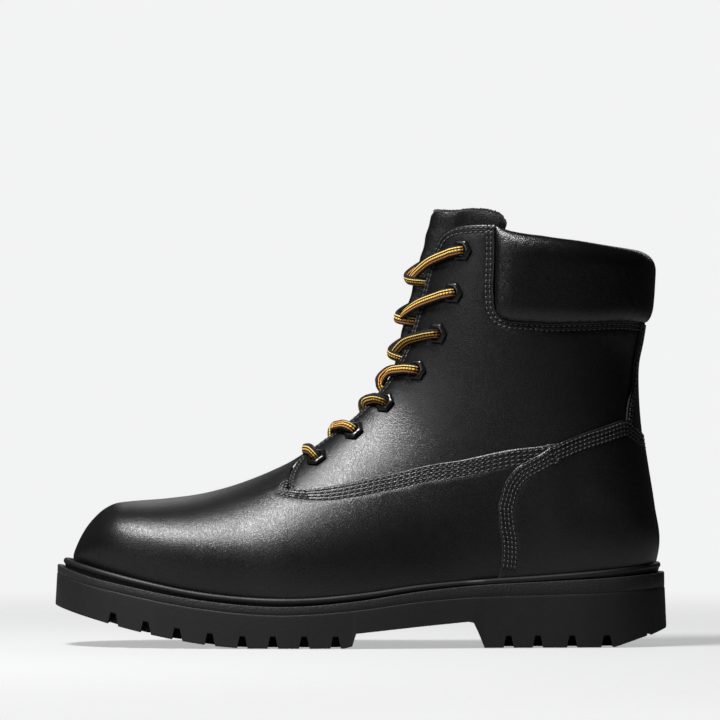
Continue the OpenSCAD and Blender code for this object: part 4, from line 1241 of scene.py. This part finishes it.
def sheet(name, places, outer, inner, material, **kw):
    """A piece between two depths over a grid of places."""
    verts, faces = shell(point(places[..., 0], places[..., 1], outer),
                         point(places[..., 0], places[..., 1], inner))
    return add(name, verts, faces, material, **kw)


def half_sheet(low, high, front, side, n, m):
    """Places of one side between a low and a high line that end at the back; front lists the
    points of the side view between their first ends."""
    near = np.concatenate([[low[0]], located(front, side), [high[0]]])
    return coons(low, high, near, [low[-1], high[-1]], n, m)


def make_linings():
    last = THROAT_FAN - 0.4
    fans = FAN_LOW + 0.05 + (last - FAN_LOW - 0.05) * np.linspace(0, 1, 30) ** 1.8
    sheet("vamp_inner", arch(fans, 41), -2.9, -3.7, LINING, slot="lining_cloth",
          replaces=["vamp_lining"])

    def shaft(s):
        low = np.concatenate([located([(-24, 84), (-28.5, 74), (-25, 60), (-18.5, 47), (-11, 34),
                                       (-5, 28)], s),
                              hem_to_back([33, 37, 41, 44, 46.2, 47.6, 48.4], s)])
        seam = [(x, z - 1.5) for x, z in COLLAR_SEAM[1:]]
        high = line_to_back([(62, 210.5), (67, 210.5)] + seam, COLLAR_SEAM_BACK - 1.5, s)
        return half_sheet(low, high, EYESTAY_BACK[1:], s, 54, 30)

    sheet("shaft_inner", both(shaft), -3.5, -4.3, LINING, slot="lining_cloth",
          replaces=["shaft_lining"])

    def counter(s):
        high = line_to_back([(91, 78), (104, 84), (118, 88), (132, 90)], 91, s)
        return half_sheet(hem_to_back([41, 43, 45.2, 47, 48.3], s), high, [(82, 50), (84, 66)],
                          s, 24, 16)

    sheet("heel_counter", both(counter), -1.95, -3.25, BOARD, slot="fibre_board",
          replaces=["heel_stiffener"])


# Depths of the roll: full and at the seam, outside and inside, and of its middle
COLLAR_OUTSIDE, COLLAR_INSIDE, COLLAR_MIDDLE = (4.0, -0.5), (-8.0, -4.3), -1.8
# Share of its run over which each end is rounded off
COLLAR_END = 0.14


def make_collar():
    """The padded roll round the ankle, a closed form swept from front to front."""
    def side_of(s):
        seam = [(x + 0.2, z - 0.9) for x, z in COLLAR_SEAM[3:]]
        return half_sheet(line_to_back(seam, COLLAR_SEAM_BACK - 0.9, s),
                          line_to_back(COLLAR_TOP, COLLAR_TOP_BACK, s),
                          [(68.4, 178.7), (68.5, 190), (68.6, 202)], s, 90, 60)

    rows = both(side_of)
    n = len(rows)
    u = np.linspace(0, 1, n)
    # Round the section: 1 at the seam outside, 0 at the top, -1 at the seam inside
    ws = np.concatenate([np.linspace(1, 0.42, 20), np.linspace(0.4, -0.4, 22),
                         np.linspace(-0.42, -1, 16)])
    e = np.minimum(np.minimum(u / COLLAR_END, (1 - u) / COLLAR_END), 1)
    end = np.sqrt(1 - (1 - e) ** 2)
    girth = run_along(point(rows[:, 20, 0], wrap(rows[:, 20])[:, 1], 0))
    verts = []
    for w in ws:
        s = 1 if w >= 0 else -1
        a = abs(w)
        turn = min(a / 0.4, 1) * math.pi / 2
        v = (0.76 + 0.24 * math.cos(turn)) if a < 0.4 else 0.76 * (1 - (a - 0.4) / 0.6)
        foot = math.sqrt(1 - (1 - min(v / 0.25, 1)) ** 2)
        full, edge = COLLAR_OUTSIDE if s > 0 else COLLAR_INSIDE
        d = (COLLAR_MIDDLE + (full - COLLAR_MIDDLE) * math.sin(turn)) if a < 0.4 else mix(
            edge, full, foot)
        depth = mix(edge, d, end)
        # The cover puckers where it is sewn down, and lies in soft waves above
        near_seam = math.exp(-((v / 0.13) ** 2)) * min(v / 0.02, 1)
        pucker = 0.28 * near_seam * np.sin(girth * 2 * math.pi / 5.4 + 1.3 * np.sin(girth / 9))
        waves = 0.35 * math.sin(math.pi * min(v, 1)) * (np.sin(girth / 11.3)
                                                        + 0.6 * np.sin(girth / 5.1 + 1))
        depth = depth + s * end * (pucker + waves * (0.6 if s > 0 else 1))
        k = v * 60
        i = min(int(k), 59)
        g = wrap(rows[:, i]), wrap(rows[:, i + 1])
        place = mix(g[0], g[1], k - i)
        verts.append(point(place[:, 0], place[:, 1], depth))
    grid = np.stack(verts, 1)
    m = len(ws)
    faces = grid_faces(n, m, closed=True).tolist()
    faces += [c[::-1] for c in end_caps(n, m)]
    mid = n // 2
    out = point(*rows[mid, 20], 10) - point(*rows[mid, 20], 0)
    if faces_in(grid[mid, 10], grid[mid + 1, 10], grid[mid, 11], out):
        faces = [f[::-1] for f in faces]
    roll = add("collar_roll", grid.reshape(-1, 3), faces, LEATHER_SOFT,
               replaces=["collar_cover", "collar_foam"], flat_angle=60)


TONGUE_HIGH = 66


def make_tongue():
    """The tongue's leather, its padded back, the raw edge between them and its fixed root."""
    half = line([(25.6, 36), (30, 38), (45, 46), (58, 60), (66, 68), (70, 70)])
    top = line([(0, 67.05), (25, 67.97), (45, 69.07), (57, 69.57), (65, 69.4), (72, 67.7)])
    pad = line([(25.6, 0.3), (29, 2), (34, 5), (45, 7), (62, 8), (68, 6.5), (70, 5)])
    n, m = 70, 49

    u, v = np.linspace(0, 1, n)[:, None], np.linspace(-1, 1, m)[None, :]

    def places(low, grow=0.0):
        g = v * half(mix(low, TONGUE_HIGH, u))
        return mix(low, top(np.abs(g)) + grow, u), g

    def depth(f, g):
        e = facing_edge(np.clip(f, *FACING_FANS))
        return mix(tongue_mid(f), tongue_side(f), smooth(np.abs(g) / np.maximum(e, 9)))

    f, g = places(29.4)
    from_top, from_side = (1 - u) * 120, (1 - np.abs(v)) * 45
    rim = np.minimum(from_top, from_side)
    fall = 0.7 * np.clip(1 - rim / 2.2, 0, 1) ** 2
    soft = 0.25 * np.sin(f * 1.9) * np.exp(-(g / 30) ** 2)
    face = depth(f, g) - fall + soft * smooth(rim / 8)
    verts, faces = shell(point(f, g, face), point(f, g, depth(f, g) - 1.2))
    add("tongue_face", verts, faces, TONGUE_LEATHER, body="tongue",
        replaces=["tongue_leather"])
    f, g = places(29.45, 0.22)
    d = depth(f, g)
    swell = pad(np.minimum(f, 70)) * (0.35 + 0.65 * np.sqrt(np.maximum(
        1 - (g / (half(np.minimum(f, 68)) * 1.02)) ** 2, 0)))
    rim = np.minimum(rim, u * 150)
    round_off = np.maximum(np.sqrt(1 - (1 - np.clip(rim / 4.0, 0, 1)) ** 2), 0.15)
    tufts = 0.2 * np.sin(f * 3.1) * np.sin(g * 0.9)
    verts, faces = shell(point(f, g, d - 1.25 + 0.9 * np.clip(1 - from_top / 0.9, 0, 1)),
                         point(f, g, d - 1.5 - (swell + 0.9 + tufts) * round_off))
    bag = add("tongue_pad", verts, faces, LINING, body="tongue", slot="lining_cloth",
              replaces=["tongue_foam", "tongue_lining"], flat_angle=70)
    g = np.linspace(-1, 1, 241)[None, :] * half(TONGUE_HIGH)
    frayed = 0.035 * (np.sin(g * 4.1) + np.sin(g * 7.7 + 1) + np.sin(g * 2.3))
    f = top(np.abs(g)) + np.array([-0.2, 0.2, 0.33])[:, None] + frayed * np.array(
        [0, 0.4, 1])[:, None]
    d = depth(f, g) - np.array([1.0, 0.5, 0.7])[:, None]
    verts, faces = shell(point(f, g, d), point(f, g, d - 0.9))
    add("tongue_raw_edge", verts, faces, RAW_EDGE, body="tongue", slot="lining_cloth")
    k, w = np.linspace(25.6, 28.9, 8)[:, None], np.linspace(-1, 1, 33)[None, :]
    g = w * half(k)
    f = np.broadcast_to(k, g.shape)
    verts, faces = shell(point(f, g, depth(f, g)), point(f, g, depth(f, g) - 1.2))
    add("tongue_root", verts, faces, TONGUE_LEATHER, replaces=["tongue_base"])


def make_eyelets(side):
    """Hexagonal eyelets with a bevel, a rolled lip and a barrel that is flared inside."""
    profile = [(2.9, -4.1, 0), (2.9, 1.3, 0), (3.05, 1.75, 0), (3.5, 2.0, 0), (4.1, 1.95, 0.3),
               (4.95, 1.75, 1), (5.7, 1.25, 1), (5.95, 0.95, 1), (5.95, 0.45, 1),
               (5.6, 0.25, 1), (3.45, 0.25, 0), (3.4, -3.3, 0), (5.0, -3.45, 0),
               (5.0, -3.9, 0), (3.3, -4.15, 0)]
    n = 48
    w = np.arange(n) * 2 * math.pi / n
    hexagon = math.cos(math.pi / 6) / np.cos((w + math.pi / 6) % (math.pi / 3) - math.pi / 6)
    hexagon = np.minimum(hexagon, 0.985)
    verts, faces = [], []
    loop = ring_faces(len(profile), n)[:, ::-1]
    for place in eyelet_place[side]:
        at, nrm = base(*place), normal(*place)
        th, ph = math.acos(nrm[2]), math.atan2(nrm[1], nrm[0])
        ex = np.array([math.cos(th) * math.cos(ph), math.cos(th) * math.sin(ph), -math.sin(th)])
        ey = np.cross(nrm, ex)
        rings = []
        for r, z, hexed in profile:
            rad = r * mix(np.ones(n), hexagon, hexed)
            rings.append(at + nrm * z + (rad * np.cos(w))[:, None] * ex
                         + (rad * np.sin(w))[:, None] * ey)
        faces += (loop + len(verts) * len(profile) * n).tolist()
        verts.append(np.concatenate(rings))
    name = SIDE_NAME[side]
    add("eyelet_hex_" + name, np.concatenate(verts), faces, BLACK_METAL, slot="black_metal",
        replaces=["eyelets_" + name, "eyelet_washers_" + name], flat_angle=22)


make_vamp()
for each in SIDES:
    make_quarter(each)
    make_eyestay(each)
    make_eyelets(each)
make_heel_patch()
make_backstay()
make_linings()
make_collar()
make_tongue()

# ---- Bottom -------------------------------------------------------------------------------

OUTLINE_STEP = 1.2


def foot_outline():
    """The feather line from above, evenly spaced and smooth, from the toe round the medial
    side; the sole stands out further at the toe and the heel."""
    fans = FAN_LOW + 0.05 + (49.1 - FAN_LOW - 0.05) * (1 - np.cos(np.linspace(
        0.12, math.pi, 120))) / 2
    sides = {}
    for s in SIDES:
        g = np.minimum(feather_girth(fans, s), 179)
        sides[s] = base(fans, s * g)[:, :2]
    toe = base(0.8, 0.0)[:2] - (0.4, 0)
    back = base(back_fan(41), 180.0)[:2]
    front = [p for p in sides[MEDIAL] if p[0] > toe[0] + 1.5]
    rear = [p for p in sides[LATERAL][::-1] if p[0] > toe[0] + 1.5]
    ring = np.array([toe] + front + [back] + rear) * (1.014, 1)
    closed = np.concatenate([ring, ring[:1]])
    s = run_along(closed)
    out = spread(np.linspace(0, s[-1], int(s[-1] / OUTLINE_STEP), endpoint=False), s, closed)
    near = np.arange(-9, 10)
    kernel = np.exp(-0.5 * (near / 3.2) ** 2)
    kernel /= kernel.sum()
    return sum(k * np.roll(out, i, axis=0) for k, i in zip(kernel, near))


OUTLINE = foot_outline()


def grown(by):
    """The foot's outline moved out by a distance."""
    d = np.roll(OUTLINE, -1, axis=0) - np.roll(OUTLINE, 1, axis=0)
    out = unit(np.stack([d[:, 1], -d[:, 0]], -1))
    if np.dot(out[0], OUTLINE[0] - OUTLINE.mean(0)) < 0:
        out = -out
    return OUTLINE + out * by


def midsole_top(xy):
    return sole_top(xy[:, 0])


def midsole_foot(xy):
    return sole_top(xy[:, 0]) - mix(4.2, 7.6, smooth((xy[:, 0] + 40) / 200))


def flat_mesh(loop, lines, points):
    """Triangles inside a loop, with lines held as edges; returns 2-D points and triangles."""
    edges, k = loop_edges(0, len(loop)), len(loop)
    for seg in lines:
        edges += [(k + i, k + i + 1) for i in range(len(seg) - 1)]
        k += len(seg)
    return triangulate(np.concatenate([loop, *lines, points]), edges, loop, (), 1e-4, 1e-6)[:2]


def slab(name, loop, low, high, wall, lines, material, spacing=6.0, flare=None, **kw):
    """A closed body between two height fields; wall lists the side's rows as
    (share of the height, inset), and flare gives a further inset at places in space."""
    lo, hi = loop.min(0), loop.max(0)
    gx, gy = np.meshgrid(np.arange(lo[0], hi[0], spacing), np.arange(lo[1], hi[1], spacing))
    pts = np.stack([gx.ravel(), gy.ravel()], -1)
    pts = pts[inside(pts, loop)]
    pts = pts[gaps(tree_of(flat3(loop)), flat3(pts)) > spacing * 0.4]
    xy, tris = flat_mesh(loop, lines, pts)
    n = len(xy)
    key = {(int(i), int(j)) for t in tris for i, j in zip(t, np.roll(t, -1))}
    after = {i: j for i, j in key if (j, i) not in key}
    start = min(after)
    ring = [start]
    while after[ring[-1]] != start:
        ring.append(after[ring[-1]])
    ring = np.array(ring)
    r_xy = xy[ring]
    d = np.roll(r_xy, -1, axis=0) - np.roll(r_xy, 1, axis=0)
    inward = unit(np.stack([-d[:, 1], d[:, 0]], -1))
    z0, z1 = low(xy), high(xy)
    bottom, top = np.c_[xy, z0], np.c_[xy, z1]
    bottom[ring, :2] += inward * wall[0][1]
    top[ring, :2] += inward * wall[-1][1]
    rows = [np.c_[r_xy + inward * by, mix(z0[ring], z1[ring], share)]
            for share, by in wall[1:-1]]
    if flare is not None:
        bottom[ring, :2] += inward * flare(bottom[ring])[:, None]
        for row in rows:
            row[:, :2] += inward * flare(row)[:, None]
    verts = np.concatenate([bottom, top] + rows)
    faces = [t[::-1] for t in tris.tolist()] + [[i + n for i in t] for t in tris.tolist()]
    m = len(ring)
    chain = [ring] + [2 * n + k * m + np.arange(m) for k in range(len(rows))] + [ring + n]
    for a, b in zip(chain[:-1], chain[1:]):
        a2, b2 = np.roll(a, -1), np.roll(b, -1)
        faces += np.stack([a, a2, b2, b], -1).tolist()
    return add(name, verts, faces, material, **kw)


GROOVES = [-124.9, -108.3, -92.4, -75.8, -59.4, -44, -28.2, -12.3, 75.3, 90.1, 107.5, 125.2]
GROOVE_DEPTH, LUG = 6.0, 15.0
WAIST = np.array([
    (-58, 0), (-8, 0), (-4, 1), (-2, 7.4), (31, 10.9), (55, 13.2), (57.5, 12.6), (59.6, 8.3),
    (61.2, 4.6), (63, 0), (129, 0), (145.2, 5.4), (145.6, 6.4), (147, 6.3), (147.3, 5.7),
    (156, 9.2), (162, 11.5)])
# Outlines of the sole, the midsole and the footbed, mm out from the foot's
SOLE_OUT, MIDSOLE_OUT, FOOTBED_OUT = 6.6, 6.45, -7.6
# Rows of the walls: share of the height, inset in mm
SOLE_WALL = [(0, 0.15), (0.015, 0.03), (0.03, 0.0), (0.07, 0.0), (0.5, 0.0), (0.93, 0.0),
             (0.965, 0.03), (0.985, 0.15), (1, 0.3)]
BAND_WALL = [(0, 0.25), (0.02, 0.12), (0.05, 0.0), (0.4, 0.0), (0.92, 0.08), (0.97, 0.2),
             (0.99, 0.4), (1, 0.6)]
SOLE_FLARE = 0.9
# Tread: width of every slope, width and depth of the channel inside the lugs
RAMP, CHANNEL, TREAD_DEPTH = 0.7, 3.2, 3.2
# Slanted bars of the tread: middles in x, middle in y, slant, half width, first and last end
BARS = [(-122 + 17 * i, s) for i in range(1, 7) for s in (-1, 1)] + [
    (x, s) for x in (82, 99, 116) for s in (-1, 1)]
BAR_Y, BAR_SLANT, BAR_HALF, BAR_ENDS = 6, 28, 2.6, (1.4, 43)


def ground(x):
    """Underside of the lugs, with the toe spring, the waist and the bevelled heel."""
    return np.where(x < -58, forefoot_under(np.clip(x, -160, -58)), np.interp(x, *WAIST.T))


def ramp(distance):
    """From 0 to 1 over the width of a slope."""
    return np.clip(distance / RAMP, 0, 1)


def groove_half(x):
    return 3.0 if x > 120 else 2.65


def cross_line(x):
    return np.array([[x, -70], [x, 70]])


def make_outsole():
    loop = grown(SOLE_OUT)
    rim = tree_of(flat3(loop))

    def bar_depth(xy):
        out = np.zeros(len(xy))
        for x0, s in BARS:
            a = math.radians(BAR_SLANT * s)
            dx, dy = xy[:, 0] - x0, xy[:, 1] - BAR_Y
            u = dx * math.cos(a) + dy * math.sin(a)
            v = (-dx * math.sin(a) + dy * math.cos(a)) * s
            out = np.maximum(out, ramp(BAR_HALF - np.abs(u)) * ramp(v - BAR_ENDS[0])
                             * ramp(BAR_ENDS[1] - v))
        return out

    def low(xy):
        x = xy[:, 0]
        e = gaps(rim, flat3(xy))
        cut = np.zeros(len(xy))
        for gx in GROOVES:
            wide = groove_half(gx)
            cut = np.maximum(cut, np.clip((wide - np.abs(x - gx)) / (wide / 2), 0, 1))
        cut *= ramp(LUG + 1.4 - e)
        channel = ramp(e - LUG) * ramp(LUG + CHANNEL - e)
        solid = (ground(x) < 7) & ((x < -10) | (x > 62))
        tread = np.maximum(channel, bar_depth(xy) * ramp(e - LUG - 0.7)) * TREAD_DEPTH * solid
        return ground(x) + np.maximum(cut * GROOVE_DEPTH, tread)

    lines = [cross_line(gx + share * groove_half(gx))
             for gx in GROOVES for share in (-1, -0.5, 0.5, 1)]
    lines += [cross_line(x) for x in WAIST[1:-1, 0]]
    for d in (LUG, LUG + 0.7, LUG + 1.4, LUG + 2.5, LUG + 3.2):
        ring = grown(SOLE_OUT - d)
        lines.append(np.concatenate([ring, ring[:1]]))
    for x0, s in BARS:
        a = math.radians(BAR_SLANT * s)
        for u in (-BAR_HALF, -1.9, 1.9, BAR_HALF):
            lines.append(np.array([(x0 + u * math.cos(a) - v * s * math.sin(a),
                                    BAR_Y + u * math.sin(a) + v * s * math.cos(a))
                                   for v in BAR_ENDS]))
    lines = [clip_line(seg, loop) for seg in lines]
    lines = [seg for seg in lines if seg is not None]

    def flare(places):
        floor = ground(places[:, 0])
        share = (places[:, 2] - floor) / (midsole_foot(places) - floor)
        return -SOLE_FLARE * (1 - np.clip(share, 0, 1))

    slab("sole_tread", loop, low, midsole_foot, SOLE_WALL, lines, SOLE, slot="outsole_rubber",
         replaces=["outsole"], flat_angle=32, flare=flare)


def clip_line(seg, loop):
    """Trims a straight line to the inside of a loop; a curve is kept as it is."""
    if len(seg) > 2:
        return seg
    t = np.linspace(0, 1, 600)
    p = mix(seg[0], seg[1], t[:, None])
    ok = np.nonzero(inside(p, loop))[0]
    if len(ok) < 3:
        return None
    a, b = max(ok[0] - 1, 0), min(ok[-1] + 1, 599)
    return np.array([p[a], p[b]])


def make_midsole():
    slab("midsole_band", grown(MIDSOLE_OUT), lambda xy: midsole_foot(xy) + 0.02, midsole_top,
         BAND_WALL, (), SOLE_BAND, slot="outsole_rubber", replaces=["midsole"], flat_angle=50)


BEAD_ANGLES = [-62, -35, -12, 10, 32, 55, 78, 100, 125]


def make_welt():
    """A round bead against the upper, on a neck that stands back over the sole."""
    unit_out = unit(grown(1.0) - OUTLINE)
    x = OUTLINE[:, 0]
    top = feather(np.clip(x, -149, 151)) - 0.3 - 0.7 * smooth((-60 - x) / 60)
    over = smooth((x - 52) / 12)
    near = mix(0.75, 3.6, smooth((x + 62) / 26) * 0.35 + over * 0.65)
    near = mix(near, 1.9, smooth((x - 120) / 28))
    low = sole_top(x) + 0.02
    r = np.minimum(1.55, (top - low) / 2)
    profile = [(near - 0.4, low), (near + 1.2, low)]
    for a in np.radians(BEAD_ANGLES):
        profile.append((near + 1.25 + r * 0.85 * math.cos(a), top - r + r * math.sin(a)))
    profile.append((near - 0.4, top - 0.9))
    grid = np.stack([np.c_[OUTLINE + unit_out * out[:, None], z] for out, z in profile], 1)
    faces = ring_faces(len(OUTLINE), len(profile))
    if faces_in(grid[0, 5], grid[1, 5], grid[0, 6], np.append(unit_out[0], 0)):
        faces = faces[:, ::-1]
    add("welt_bead", grid.reshape(-1, 3), faces, WELT, slot="outsole_rubber", replaces=["welt"],
        flat_angle=60)


def make_footbed():
    loop = grown(FOOTBED_OUT)
    loop = loop[loop[:, 0] > -131]
    start = int(np.argmax(np.linalg.norm(np.roll(loop, 1, axis=0) - loop, axis=1)))
    loop = np.roll(loop, -start, axis=0)
    for name, a, b, material, nodes, wall in (
            ("footbed_core", 5.0, 8.95, FOAM, ["footbed_foam"],
             [(0, 0.4), (0.3, 0.0), (0.8, 0.0), (1, 0.1)]),
            ("footbed_top", 9.0, 10.0, FOOTBED, ["footbed_cover"],
             [(0, 0.1), (0.4, 0.0), (0.8, 0.2), (1, 0.7)])):
        slab(name, loop, lambda xy, a=a: sole_top(xy[:, 0]) + a,
             lambda xy, b=b: sole_top(xy[:, 0]) + b, wall, (), material, body="footbed",
             slot="footbed_foam" if a < 6 else "footbed_cloth", replaces=nodes, flat_angle=50)


make_outsole()
make_midsole()
make_welt()
make_footbed()

# ---- CAD nodes that stay -------------------------------------------------------------------

KEPT = {"toe_cap": STEEL, "shank": STEEL, "toe_cap_gasket": SOLE, "bottom_filler": FOAM,
        "insole_board": BOARD}
for node_name, node_material in KEPT.items():
    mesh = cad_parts[node_name].data
    mesh.materials.clear()
    mesh.materials.append(node_material)
